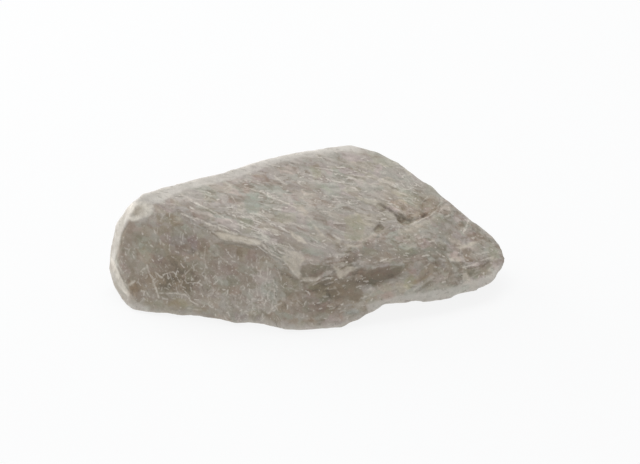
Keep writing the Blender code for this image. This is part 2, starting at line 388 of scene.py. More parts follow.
# tone of the rock and painted light and shade, soft ovals: centre, half sizes, turn, strength (+ lighter, - darker);
# the lighter ovals along the lower right edge and under the pale U are painted light, the darker ones in the V break
# and the trough painted shade
TONES_AND_PAINTED_LIGHT = [
    ((172, 280), (24, 18), 0, -0.24), ((309, 192), (13, 12), 0, 0.22), ((341, 197), (9, 5), 0, 0.18), ((310, 209), (10, 6), 0, 0.12),
    ((144, 223), (9, 5), 0, 0.24), ((407, 177), (10, 7), 35, 0.09), ((245, 270), (8, 10), 0, 0.11), ((272, 320), (13, 5), 8, 0.07),
    ((356, 316), (12, 5), -20, 0.07), ((394, 231), (16, 8), 0, -0.17), ((376, 235), (8, 6), 0, -0.10), ((284, 247), (9, 6), 35, -0.18), ((295, 228), (8, 5), 0, -0.10), ((265, 249), (7, 4), 20, -0.10), ((182, 236), (22, 10), 0, -0.05), ((154, 270), (9, 12), 0, -0.11),
    ((140, 285), (10, 7), 0, -0.10), ((258, 190), (15, 5), 10, -0.17), ((342, 253), (6, 6), 0, -0.18), ((407, 273), (4, 4), 0, 0.12),
    ((234, 245), (9, 4), 5, 0.10), ((234, 226), (8, 6), 0, 0.09), ((350, 302), (9, 5), -10, 0.09), ((359, 312), (9, 5), -20, 0.08),
    ((162, 212), (8, 6), 0, 0.09), ((308, 263), (5, 4), 0, 0.09), ((270, 275), (8, 6), 0, 0.09), ((409, 181), (8, 5), 30, 0.09),
    ((457, 270), (8, 5), 0, 0.14), ((452, 277), (6, 5), 0, 0.07), ((145, 198), (8, 5), -20, 0.10), ((152, 230), (8, 6), 0, 0.08),
    ((409, 184), (9, 5), 30, 0.08), ((329, 202), (8, 5), 10, 0.10), ((236, 250), (9, 4), 8, 0.09), ((419, 270), (6, 5), 0, 0.10),
    ((358, 247), (7, 4), 0, 0.09), ((245, 272), (7, 7), 0, 0.09), ((434, 212), (7, 5), -20, -0.09), ((276, 194), (7, 4), 15, -0.09),
    ((372, 185), (8, 5), 5, -0.09), ((292, 273), (6, 6), 30, -0.10), ((287, 298), (7, 6), 0, -0.09), ((231, 223), (9, 5), 15, 0.08),
    ((265, 221), (8, 4), 10, 0.08), ((338, 293), (8, 6), 0, 0.07), ((398, 177), (8, 5), 25, 0.09), ((405, 273), (5, 4), 0, 0.10), ((360, 247), (7, 4), 0, 0.08),
    ((308, 264), (6, 5), 0, 0.08), ((316, 285), (7, 4), 0, 0.08), ((174, 219), (8, 5), 0, 0.08), ((162, 211), (8, 5), 0, 0.08),
    ((144, 222), (8, 4), 0, 0.10), ((463, 238), (8, 5), 0, -0.09), ((329, 230), (8, 5), 10, -0.08), ((250, 190), (14, 5), 10, -0.08),
    ((166, 245), (8, 7), 0, -0.09), ((197, 249), (7, 5), 0, 0.07), ((145, 197), (8, 4), -20, 0.08), ((352, 262), (6, 3), 0, 0.07),
    ((157, 276), (6, 6), 0, -0.07), ((421, 230), (8, 4), -20, -0.07), ((398, 228), (8, 4), 0, -0.07), ((490, 238), (6, 6), 30, 0.08),
    ((454, 209), (8, 5), 35, 0.08), ((232, 275), (8, 6), 0, 0.07), ((284, 248), (7, 4), 30, -0.10), ((226, 212), (16, 8), 12, 0.15), ((203, 217), (8, 5), 15, 0.12),
    ((250, 202), (11, 8), 0, 0.12), ((201, 200), (8, 4), 15, -0.11), ((310, 155), (16, 4), -8, 0.10), ((467, 220), (8, 4), 35, 0.09),
    ((277, 182), (7, 5), 0, 0.09), ((398, 173), (7, 5), 30, 0.08), ((451, 282), (8, 5), -10, 0.08), ((314, 212), (8, 5), 0, 0.08),
    ((405, 273), (5, 4), 0, 0.08), ((419, 271), (6, 4), 0, 0.07), ((127, 284), (7, 5), 0, -0.08), ((295, 327), (10, 3), 0, -0.09),
    ((216, 315), (9, 3), 0, -0.08), ((385, 261), (7, 4), 0, -0.08), ((422, 230), (7, 5), 0, -0.07), ((296, 227), (7, 4), 20, -0.07),
    ((270, 194), (7, 4), 0, -0.06), ((364, 249), (7, 4), 0, 0.08), ((145, 197), (8, 3), -15, 0.07), ((500, 257), (4, 6), 0, 0.07), ((158, 269), (8, 8), 0, -0.09), ((143, 285), (8, 7), 0, -0.09), ((462, 239), (8, 6), 0, -0.09),
    ((436, 214), (8, 5), 0, -0.09), ((328, 229), (9, 6), 10, -0.08), ((246, 296), (9, 7), 0, -0.09), ((394, 260), (14, 5), -5, -0.06), ((178, 252), (20, 18), 0, -0.12), ((326, 294), (26, 20), 0, -0.24),
    ((386, 273), (24, 8), -10, -0.07), ((358, 278), (20, 10), 0, -0.18), ((300, 190), (90, 36), 15, 0.035), ((337, 286), (12, 12), 0, -0.12),
    ((320, 269), (12, 7), 0, -0.22), ((404, 219), (8, 4), 20, -0.16),
    ((392, 212), (11, 2.5), 35, -0.12), ((420, 216), (10, 2.0), -22, -0.06),
    ((436, 203), (4, 6), 20, -0.06), ((380, 226), (5, 5), 0, -0.14), ((420, 208), (6, 6), 0, -0.06),
    ((355, 260), (4, 4), 0, -0.05), ((471, 274), (2, 4), 0, -0.12), ((488, 264), (3, 3), 0, -0.10), 
    ((134, 250), (10, 30), 0, -0.03), ((264, 290), (14, 24), 0, 0.12),
    ((404, 293), (30, 7), -6, 0.26), ((335, 172), (60, 16), 0, 0.07), ((385, 180), (32, 16), 0, 0.20), ((192, 200), (22, 10), 20, 0.14), ((228, 251), (26, 6), 6, -0.08), ((146, 236), (10, 14), 0, -0.06), ((425, 240), (30, 14), 0, 0.05), ((460, 222), (16, 8), 30, -0.05), ((148, 228), (16, 8), 0, -0.04),
    ((425, 287), (9, 2.5), -45, -0.14), ((340, 250), (6, 4), 0, -0.10),
    ((133, 288), (6, 6), 0, -0.07), ((137, 212), (2.5, 3.5), 10, -0.08), ((345, 262), (16, 5), 0, -0.06), ((304, 290), (10, 14), 0, -0.12),
    ((440, 226), (20, 22), 0, -0.10), ((412, 256), (10, 5), 0, -0.16), ((436, 272), (14, 8), 0, -0.10),
    ((215, 208), (10, 8), 0, -0.04), ((470, 281), (26, 6), -14, 0.26), ((493, 268), (6, 9), 10, 0.22),
    ((155, 203), (20, 6), -25, 0.14), ((325, 236), (22, 10), 0, -0.06), 
    ((204, 300), (40, 8), 6, 0.04), ((470, 238), (12, 10), 0, 0.06),
]
# soft pale bands along the outline, a painted rim highlight where the edges turn to the lamps and the bright floor:
# half width, strength, points
RIM_HIGHLIGHTS = [
    (5.5, 0.85, [(110, 240), (114, 222), (127, 204), (142, 194), (162, 187), (182, 182)]),
    (4.0, 0.75, [(182, 182), (204, 176), (240, 166), (272, 157)]),
    (5.4, 0.92, [(262, 162), (300, 153), (345, 147), (356, 148)]),
    (2.8, 0.40, [(354, 146), (372, 152)]),
    (3.5, 0.90, [(108, 262), (110, 240), (114, 222)]),
    (3.0, 0.70, [(108, 262), (111, 280), (119, 298), (130, 308)]),
    (3.0, 0.30, [(130, 309), (160, 312), (200, 315)]), (4.2, 0.80, [(126, 304), (138, 307), (146, 309)]),
    (4.0, 0.42, [(248, 321), (288, 328), (340, 325)]), (4.0, 0.38, [(344, 324), (356, 319), (372, 312)]),
    (5.0, 0.30, [(398, 168), (412, 176), (422, 183)]),
    (3.0, 0.40, [(362, 316), (384, 304), (412, 300), (440, 298), (472, 291), (494, 279), (502, 266)]),
    (2.5, 0.22, [(372, 152), (398, 162), (420, 178), (440, 198), (466, 215), (500, 245)]),
]
# tints: centre, half sizes, turn, strength
OCHRE = [((426, 206), (13, 9), -30, 0.46), ((396, 204), (12, 6), 25, 0.42),
         ((425, 268), (8, 6), -40, 0.24), ((133, 289), (4, 6), 0, 0.08),
         ((411, 211), (14, 6), 0, 0.42), ((420, 278), (7, 4), -45, 0.20)]
OLIVE = [((414, 197), (24, 7), 5, 0.9), ((431, 223), (8, 4), -20, 0.5), ((390, 196), (12, 6), 20, 0.8), ((412, 202), (14, 4), 5, 0.95), ((236, 239), (20, 4), 10, 0.5),
         ((205, 250), (8, 12), 0, 0.5), ((175, 305), (24, 5), 0, 0.5), ((410, 280), (7, 5), -30, 0.7),
         ((285, 222), (14, 6), 0, 0.4), ((362, 225), (12, 14), 0, 0.45), ((137, 212), (3.5, 5), 0, 0.35),
         ((318, 172), (6, 8), 0, 0.4), ((493, 255), (6, 8), 0, 0.4), ((318, 285), (8, 5), 0, 0.5),
         ((168, 225), (12, 8), 0, 0.35), ((430, 188), (10, 5), 30, 0.4)]
GREEN = [((253, 204), (11, 9), 0, 0.8), ((333, 187), (12, 8), 0, 0.8), ((145, 244), (8, 10), 0, 0.4),
         ((220, 285), (10, 9), 0, 0.7), ((385, 158), (14, 6), 25, 0.7), ((430, 250), (14, 4), 0, 0.8),
         ((400, 250), (18, 6), 0, 0.6), ((370, 250), (12, 6), 0, 0.5), ((450, 290), (34, 6), -10, 0.5),
         ((240, 228), (9, 7), 0, 0.4), ((268, 283), (8, 14), 0, 0.4), ((320, 266), (8, 4), 0, 0.7),
         ((466, 226), (5, 7), 30, 0.6), ((350, 315), (14, 6), -20, 0.5), ((205, 190), (8, 6), 0, 0.4),
         ((275, 187), (12, 6), 10, 0.6), ((424, 287), (12, 4), -45, 0.8)]
PINK = [((262, 178), (14, 7), 0, 0.5), ((365, 155), (10, 4), 10, 0.6), ((185, 244), (14, 8), 0, 0.7),
        ((275, 290), (6, 8), 0, 0.8), ((425, 243), (12, 5), 0, 0.2), ((245, 186), (10, 5), 0, 0.5),
        ((218, 270), (10, 6), 0, 0.5), ((452, 222), (14, 6), 30, 0.5), ((175, 208), (12, 5), 0, 0.4),
        ((355, 259), (5, 4), 0, 0.4), ((220, 198), (10, 7), 0, 0.4), ((477, 238), (6, 5), 0, 0.4),
        ((415, 270), (8, 4), 0, 0.4), ((480, 283), (8, 4), 0, 0.4)]

# patches of the rock with a fairly sharp edge, some of them painted shade in the trough and at the foot of the V
# break: outline, lightness, tint
PATCHES_AND_PAINTED_SHADE = [
    # the trough, darkened as painted shade, and the dark parts of the front
    ([(362, 275), (370, 270), (380, 268), (392, 267), (404, 266), (400, 273), (392, 279), (384, 283),
      (372, 285), (363, 284)], -0.19, (1.0, 1.0, 0.99)),
    ([(340, 278), (352, 274), (364, 272), (366, 280), (354, 284), (342, 285)], -0.10, (1.0, 1.0, 0.98)),
    ([(326, 284), (340, 281), (360, 284), (364, 292), (358, 302), (342, 304), (332, 300), (326, 292)],
     -0.13, (1.0, 0.99, 0.95)),
    ([(308, 284), (318, 281), (326, 286), (324, 296), (314, 298), (307, 292)], -0.08, (1.0, 1.0, 0.92)),
    ([(300, 266), (312, 264), (327, 265), (323, 273), (316, 279), (301, 279)], -0.22, (0.98, 1.01, 0.98)),
    ([(283, 268), (291, 274), (298, 281), (298, 296), (288, 300), (282, 286)], -0.09, (1.0, 1.0, 0.97)),
    ([(160, 276), (176, 268), (190, 263), (197, 276), (190, 290), (172, 293), (158, 287)], -0.12,
     (1.0, 0.99, 0.96)),
    ([(150, 254), (162, 253), (166, 259), (160, 264), (151, 262)], -0.06, (0.99, 0.97, 1.03)),
    ([(212, 244), (232, 246), (248, 249), (258, 252), (246, 255), (224, 252)], -0.09, (1.0, 0.99, 0.96)),
    ([(129, 284), (136, 282), (140, 289), (137, 296), (131, 292)], -0.08, (1.02, 0.97, 0.91)),
    ([(168, 238), (184, 236), (198, 240), (198, 250), (186, 256), (172, 254)], -0.02, (0.98, 0.965, 1.07)),
    ([(138, 238), (150, 236), (153, 248), (146, 257), (138, 252)], 0.02, (0.96, 1.02, 0.98)),
    ([(216, 281), (228, 279), (231, 290), (222, 295), (215, 290)], -0.02, (0.96, 1.02, 0.99)),
    ([(170, 299), (184, 298), (188, 307), (176, 311), (168, 306)], 0.0, (1.0, 1.01, 0.90)),
    ([(262, 281), (277, 279), (278, 292), (272, 299), (262, 294)], 0.05, (0.95, 1.02, 1.01)),
    ([(330, 314), (342, 313), (345, 320), (336, 325), (329, 321)], 0.05, (1.03, 0.98, 0.97)),
    ([(342, 313), (356, 309), (360, 314), (350, 320), (343, 321)], 0.06, (0.96, 1.01, 1.03)),
    ([(231, 313), (262, 314), (264, 320), (236, 321)], -0.03, (0.97, 1.0, 1.03)),
    ([(130, 299), (146, 297), (162, 302), (162, 310), (142, 309), (130, 305)], 0.07, (0.98, 1.01, 0.98)),
    ([(150, 203), (172, 201), (176, 209), (164, 214), (152, 211)], 0.04, (1.03, 0.98, 0.98)),
    ([(164, 214), (178, 212), (184, 222), (172, 228), (162, 222)], -0.08, (0.98, 1.01, 0.93)),
    # the face right of the trough, then the tip
    ([(362, 247), (372, 243), (382, 246), (384, 256), (374, 261), (364, 258)], -0.02, (0.97, 1.0, 1.03)),
    ([(392, 247), (404, 245), (418, 251), (411, 257), (396, 257)], -0.03, (0.95, 1.02, 0.99)),
    ([(407, 257), (420, 252), (434, 250), (445, 247), (447, 253), (436, 258), (424, 258), (412, 262)],
     -0.17, (0.97, 1.0, 1.0)),
    ([(440, 231), (449, 234), (451, 246), (442, 249), (436, 243)], 0.0, (0.97, 1.01, 1.02)),
    ([(415, 236), (428, 235), (431, 245), (421, 250), (413, 244)], 0.03, (1.02, 0.97, 1.0)),
    ([(348, 252), (358, 251), (361, 261), (350, 263), (344, 258)], -0.05, (1.0, 0.97, 1.03)),
    ([(407, 262), (421, 264), (422, 272), (412, 275), (406, 270)], -0.06, (1.03, 0.97, 1.0)),
    ([(422, 270), (430, 263), (435, 266), (430, 276), (420, 284), (413, 284)], 0.0, (1.04, 0.97, 0.88)),
    ([(405, 280), (414, 276), (419, 283), (412, 290), (404, 287)], -0.05, (0.98, 1.0, 0.84)),
    ([(376, 290), (392, 281), (401, 277), (406, 286), (404, 296), (390, 301), (372, 305), (365, 301)],
     0.10, (1.02, 0.99, 0.95)),
    ([(436, 283), (460, 284), (476, 285), (462, 293), (440, 297), (420, 299), (425, 291)], 0.09,
     (0.98, 1.01, 0.99)),
    ([(464, 284), (486, 276), (494, 268), (501, 262), (498, 274), (488, 285), (474, 291)], 0.16,
     (1.0, 1.0, 1.0)),
    ([(469, 273), (475, 266), (484, 263), (492, 259), (491, 266), (486, 274), (478, 278), (471, 278)],
     -0.04, (1.0, 1.0, 0.94)),
    ([(456, 248), (468, 245), (475, 252), (470, 262), (458, 262), (450, 256)], 0.05, (1.02, 0.98, 0.97)),
    ([(463, 250), (468, 248), (472, 252), (469, 257), (464, 256)], -0.13, (1.0, 0.99, 0.96)),
    ([(483, 240), (493, 243), (500, 254), (497, 262), (487, 256)], 0.06, (1.0, 1.01, 0.94)),
    ([(468, 231), (479, 231), (485, 238), (475, 241), (466, 237)], -0.11, (1.02, 0.96, 0.98)),
    ([(436, 209), (446, 204), (454, 208), (452, 214), (442, 217), (434, 214)], 0.09, (1.02, 0.98, 0.94)),
    ([(433, 215), (442, 217), (447, 222), (438, 225), (431, 220)], -0.04, (0.96, 1.01, 0.94)),
    ([(443, 262), (458, 262), (462, 272), (452, 280), (442, 274)], -0.05, (1.0, 0.99, 0.97)),
    ([(428, 262), (441, 262), (442, 274), (434, 280), (428, 274)], -0.10, (1.0, 1.0, 0.97)),
    # the broken corner, with painted shade at the foot of the V
    ([(390, 200), (404, 199), (410, 206), (404, 211), (396, 208)], 0.07, (1.05, 0.97, 0.88)),
    ([(419, 206), (427, 203), (430, 210), (425, 216), (418, 214)], -0.09, (1.01, 0.98, 0.96)),
    ([(428, 199), (438, 197), (439, 204), (434, 209), (428, 207)], -0.02, (1.02, 0.98, 0.95)),
    ([(410, 206), (418, 205), (419, 214), (412, 217), (408, 211)], 0.12, (1.02, 0.98, 0.92)),
    ([(398, 212), (404, 210), (412, 214), (413, 222), (405, 226), (397, 221)], -0.15, (1.0, 0.99, 0.93)),
    ([(413, 216), (424, 213), (432, 209), (436, 205), (437, 209), (428, 216), (416, 221)], -0.05,
     (1.02, 0.97, 0.90)),
    ([(375, 231), (377, 225), (381, 222), (384, 228), (381, 231)], -0.14, (1.0, 0.99, 0.95)),
    ([(399, 232), (412, 226), (424, 220), (432, 220), (428, 227), (414, 233), (404, 238)], 0.06,
     (1.01, 0.99, 0.96)),
    ([(122, 226), (148, 228), (156, 248), (152, 284), (132, 290), (120, 270), (118, 250)], 0.0, (1.01, 0.985, 0.97)),
    ([(420, 242), (438, 242), (440, 252), (422, 253)], 0.0, (0.98, 1.0, 1.03)),
    ([(190, 236), (206, 236), (208, 250), (192, 250)], 0.0, (0.98, 0.99, 1.03)),
    ([(470, 222), (482, 226), (486, 233), (472, 232)], 0.0, (0.98, 1.0, 1.03)),
    # the striated top
    ([(246, 195), (258, 193), (261, 204), (257, 214), (247, 212), (244, 204)], 0.03, (0.95, 1.02, 1.0)),
    ([(263, 197), (273, 196), (275, 206), (265, 209)], -0.04, (0.97, 1.01, 0.99)),
    ([(231, 181), (241, 180), (243, 192), (236, 197), (231, 190)], -0.04, (0.98, 0.99, 1.01)),
    ([(241, 183), (250, 181), (252, 191), (244, 196)], -0.06, (1.03, 0.95, 0.96)),
    ([(252, 176), (266, 173), (270, 180), (260, 186), (253, 184)], -0.07, (1.04, 0.95, 0.94)),
    ([(226, 196), (241, 197), (241, 206), (228, 206)], -0.06, (1.01, 0.98, 0.98)),
    ([(200, 191), (216, 190), (219, 199), (206, 202)], -0.05, (0.97, 1.01, 0.95)),
    ([(197, 203), (209, 206), (222, 218), (208, 220), (196, 212)], 0.0, (0.97, 1.01, 1.01)),
    ([(240, 219), (252, 218), (254, 232), (243, 235), (239, 227)], -0.03, (0.98, 1.01, 0.95)),
    ([(278, 212), (296, 212), (298, 221), (284, 223), (277, 218)], 0.03, (0.98, 1.01, 0.91)),
    ([(300, 204), (318, 205), (322, 216), (306, 222), (299, 214)], 0.0, (1.02, 0.99, 0.98)),
    ([(288, 183), (300, 181), (303, 196), (294, 201), (287, 193)], -0.03, (0.99, 0.98, 1.01)),
    ([(322, 183), (338, 181), (342, 193), (330, 198), (321, 192)], 0.05, (0.95, 1.03, 0.99)),
    ([(308, 165), (320, 163), (322, 176), (312, 180)], -0.03, (1.0, 1.0, 0.91)),
    ([(344, 217), (360, 214), (366, 226), (360, 240), (346, 240)], 0.02, (0.99, 1.01, 0.90)),
    ([(294, 241), (308, 244), (313, 256), (304, 259), (296, 251)], -0.06, (1.0, 0.99, 0.97)),
    ([(314, 240), (332, 240), (337, 254), (326, 262), (315, 254)], 0.0, (1.0, 0.98, 1.0)),
    ([(366, 151), (392, 158), (402, 166), (392, 168), (372, 160)], 0.06, (0.98, 1.01, 0.98)),
    ([(212, 181), (240, 173), (246, 178), (226, 186), (212, 188)], -0.03, (1.01, 0.99, 1.01)),
]
# parts of an even tone with a sharp edge: outline, lightness, how even; the low level in the trough is painted
# shade, the high levels along the lower right edge painted light
EVEN_AND_PAINTED_LIGHT = [
    ([(361, 276), (370, 270), (380, 267), (392, 266), (402, 265), (398, 271), (391, 277), (386, 281),
      (372, 285), (361, 284)], 0.64, 0.75),
    ([(326, 284), (342, 281), (360, 284), (364, 292), (357, 298), (342, 300), (330, 297)], 0.74, 0.60),
    ([(300, 266), (312, 264), (327, 265), (323, 273), (316, 279), (301, 279)], 0.72, 0.65),
    ([(358, 248), (370, 243), (384, 243), (396, 247), (412, 250), (428, 247), (447, 245), (446, 250),
      (430, 255), (410, 259), (394, 264), (372, 264), (358, 260)], 0.73, 0.68),
    ([(372, 291), (386, 285), (401, 277), (407, 283), (405, 295), (390, 300), (366, 307)], 1.13, 0.60),
    ([(408, 262), (424, 262), (434, 265), (428, 275), (418, 282), (408, 276)], 0.96, 0.50),
    ([(430, 289), (455, 285), (476, 284), (490, 274), (499, 266), (498, 275), (487, 286), (468, 293),
      (440, 299), (424, 299)], 1.38, 0.70),
    ([(433, 222), (450, 220), (462, 232), (458, 244), (440, 246), (430, 236)], 0.98, 0.45),
    ([(482, 240), (492, 242), (500, 252), (499, 262), (488, 258), (482, 250)], 1.04, 0.55),
    ([(469, 272), (473, 267), (480, 265), (487, 261), (492, 260), (491, 266), (486, 272), (480, 276),
      (473, 278), (470, 276)], 0.80, 0.80),
    ([(463, 251), (467, 248), (471, 249), (473, 253), (470, 256), (465, 257)], 0.84, 0.70),
    ([(424, 287), (438, 281), (452, 284), (464, 286), (452, 293), (436, 297), (420, 298)], 1.05, 0.55),
    ([(474, 244), (481, 243), (484, 250), (481, 258), (474, 258), (473, 250)], 1.06, 0.50),
    ([(405, 236), (414, 226), (428, 220), (436, 219), (432, 227), (424, 236), (412, 241)], 1.06, 0.45),
    ([(422, 266), (431, 262), (434, 266), (431, 274), (425, 280), (418, 284), (420, 276)], 0.86, 0.55),
    ([(304, 236), (322, 233), (336, 238), (336, 252), (322, 260), (306, 254)], 1.00, 0.70),
    ([(239, 222), (253, 220), (258, 227), (253, 236), (242, 235)], 0.97, 0.65),
    ([(277, 229), (292, 226), (300, 238), (308, 252), (298, 252), (284, 250), (278, 243)], 0.88, 0.60),
    ([(246, 195), (258, 194), (261, 204), (256, 213), (247, 211), (244, 203)], 1.00, 0.50),
    ([(344, 218), (360, 215), (366, 226), (360, 239), (347, 239)], 1.00, 0.55),
    ([(288, 184), (300, 182), (303, 196), (294, 201), (287, 193)], 0.97, 0.45),
    ([(396, 204), (410, 203), (424, 202), (434, 200), (436, 205), (424, 212), (412, 215), (402, 212)], 0.98, 0.40),
]
# pale worn areas along the outline, brightened into a painted highlight on the bevels turned to the lamps and the
# bright floor: outline, strength
WORN_EDGES_AND_HIGHLIGHTS = [
    ([(128, 221), (123, 232), (121, 242), (117, 256), (114, 263), (102, 263), (106, 236), (118, 214)], 0.70),
    ([(113, 262), (116, 258), (117.5, 266), (121, 280), (126, 291), (131, 299), (130, 312), (112, 300),
      (101, 270)], 0.42),
    ([(116, 222), (126, 202), (148, 184), (186, 174), (192, 186), (180, 193), (166, 199), (153, 203),
      (143, 204), (134, 207), (129, 221)], 0.82),
    ([(186, 174), (240, 157), (300, 145), (353, 138), (357, 149), (330, 154), (300, 158), (272, 165),
      (250, 174), (218, 182), (190, 189)], 0.74),
    ([(357, 147), (353, 138), (380, 147), (404, 162), (424, 177), (420, 182), (398, 168), (376, 155)], 0.16),
    ([(127, 206), (133, 203), (136, 208), (133, 213), (137, 218), (144, 216), (149, 210), (147, 203),
      (151, 204), (152, 211), (147, 219), (138, 221), (129, 221), (124, 215)], 0.50),
    ([(366, 305), (386, 299), (414, 294), (440, 290), (470, 283), (490, 274), (500, 264), (506, 268),
      (494, 286), (470, 297), (412, 306), (370, 318)], 0.66),
]
# the whitest spots, of calcite, brightened further as a painted highlight on the right arm of the pale U and along
# the lower left edge: outline, strength
WHITE_AND_HIGHLIGHTS = [
    ([(126, 213), (131, 204), (142, 200), (151, 202), (154, 208), (150, 216), (143, 220), (131, 221),
      (127, 218), (134, 216), (140, 215), (141, 208), (138, 206), (134, 208), (132, 213)], 0.52),
    ([(141, 205), (145, 203), (148, 205), (152, 204), (151, 211), (147, 213), (146, 218), (142, 216), (144, 210)], 0.70),
    ([(128, 216), (136, 218), (143, 217), (141, 221), (132, 222)], 0.45),
    ([(110, 257), (114, 260), (118, 269), (124, 281), (131, 293), (128, 296), (118, 285), (112, 270)], 0.55),
]
# small corrections of the outline as seen: centre, half sizes, how far out in mm, how far
# round the edge it reaches
OUTLINE = [((150, 190), (12, 8), -0.55, 0.4), ((140, 196), (7, 7), -0.45, 0.6), ((172, 184), (16, 6), -0.30, 0.4),
           ((226, 171), (24, 6), -0.30, 0.4), ((432, 187), (9, 7), 0.60, 0.4), ((268, 326), (12, 7), 0.60, 1.2),
           ((352, 325), (8, 8), -0.75, 1.2), ((342, 326), (8, 5), 0.35, 1.0), ((366, 315), (8, 6), -0.30, 1.0),
           ((388, 305), (12, 7), -0.40, 0.6), ((170, 315), (20, 6), -0.45, 0.6), ((223, 321), (10, 5), -0.40, 0.6),
           ((476, 292), (11, 7), -0.40, 0.6), ((119, 298), (7, 7), -0.45, 0.4), ((447, 298), (8, 5), -0.45, 0.4),
           ((412, 302), (9, 6), -0.35, 0.5), ((472, 221), (8, 6), -0.40, 0.4), ((499, 243), (10, 9), -0.60, 0.5), ((506, 257), (5, 6), -0.45, 0.6), ((459, 210), (12, 8), -0.30, 0.4),
           ((209, 175), (12, 6), -0.35, 0.4)]
# places where the surface is pushed bodily across the view: centre, half sizes, and how far in
# mm to the right and up
NUDGES = [((474, 292), (16, 10), 0.0, 0.80), ((491, 283), (11, 10), -0.05, 0.25), ((386, 306), (14, 9), 0.05, 0.45),
          ((412, 303), (10, 8), 0.0, 0.30), ((119, 299), (8, 8), 0.35, 0.25), ((353, 322), (8, 7), -0.15, 0.15)]
# where the top carries more streaks (above 1) or stays smooth (below 1)
STREAKED = [((262, 222), (30, 14), 20, 1.4), ((235, 212), (20, 7), 12, 1.0), ((375, 180), (34, 12), 15, 0.5),
            ((275, 241), (22, 9), 32, 0.9), ((345, 203), (36, 10), 10, 0.8), ((405, 190), (18, 8), 15, 1.0),
            ((253, 204), (10, 11), 0, -0.95), ((246, 226), (8, 9), 0, -0.95), ((310, 213), (14, 9), 0, -0.8),
            ((303, 249), (11, 9), 0, -0.8), ((290, 240), (12, 8), 35, -0.9), ((324, 228), (22, 8), 10, -0.5), ((345, 213), (18, 8), 0, -0.4), ((296, 226), (9, 5), 10, -0.6), ((284, 248), (8, 5), 30, -0.8), ((310, 164), (44, 10), -6, -0.55), ((352, 160), (26, 9), 0, -0.4), ((325, 250), (14, 12), 0, -0.85), ((268, 202), (7, 6), 0, -0.9),
            ((203, 210), (11, 8), 20, -0.8), ((413, 208), (19, 7), -10, -0.75), ((354, 228), (12, 12), 0, -0.6), ((379, 227), (7, 6), 0, -0.9), ((294, 191), (8, 10), 0, -0.6)]
# where the front carries pale specks
SPECKED = [((185, 246), (22, 12), 0, 0.8), ((176, 281), (28, 18), 0, 0.95), ((208, 277), (14, 22), 0, 1.1),
           ((264, 290), (20, 28), 0, 1.35), ((236, 264), (18, 14), 0, 0.12), ((340, 293), (9, 9), 0, 0.8),
           ((333, 312), (26, 12), 0, 1.0), ((244, 302), (14, 18), 0, 0.9), ((300, 302), (18, 14), 0, 0.6),
           ((145, 298), (14, 8), 0, 0.7), ((212, 300), (16, 14), 0, 0.5)]

# where dark pinprick pits gather
DOTTED = [((443, 221), (8, 6), 0, 3.0), ((402, 264), (10, 4), 0, 2.5), ((440, 278), (14, 5), 0, 3.0),
          ((322, 270), (9, 6), 0, 1.5), ((368, 236), (8, 6), 0, 1.5), ((447, 240), (5, 6), 0, 2.0),
          ((393, 208), (12, 4), 30, 2.5), ((345, 228), (5, 5), 0, 1.5), ((308, 300), (12, 8), 0, 1.0),
          ((172, 225), (14, 8), 0, 1.0), ((418, 243), (10, 8), 0, 1.2), ((360, 268), (10, 5), 0, 1.5)]

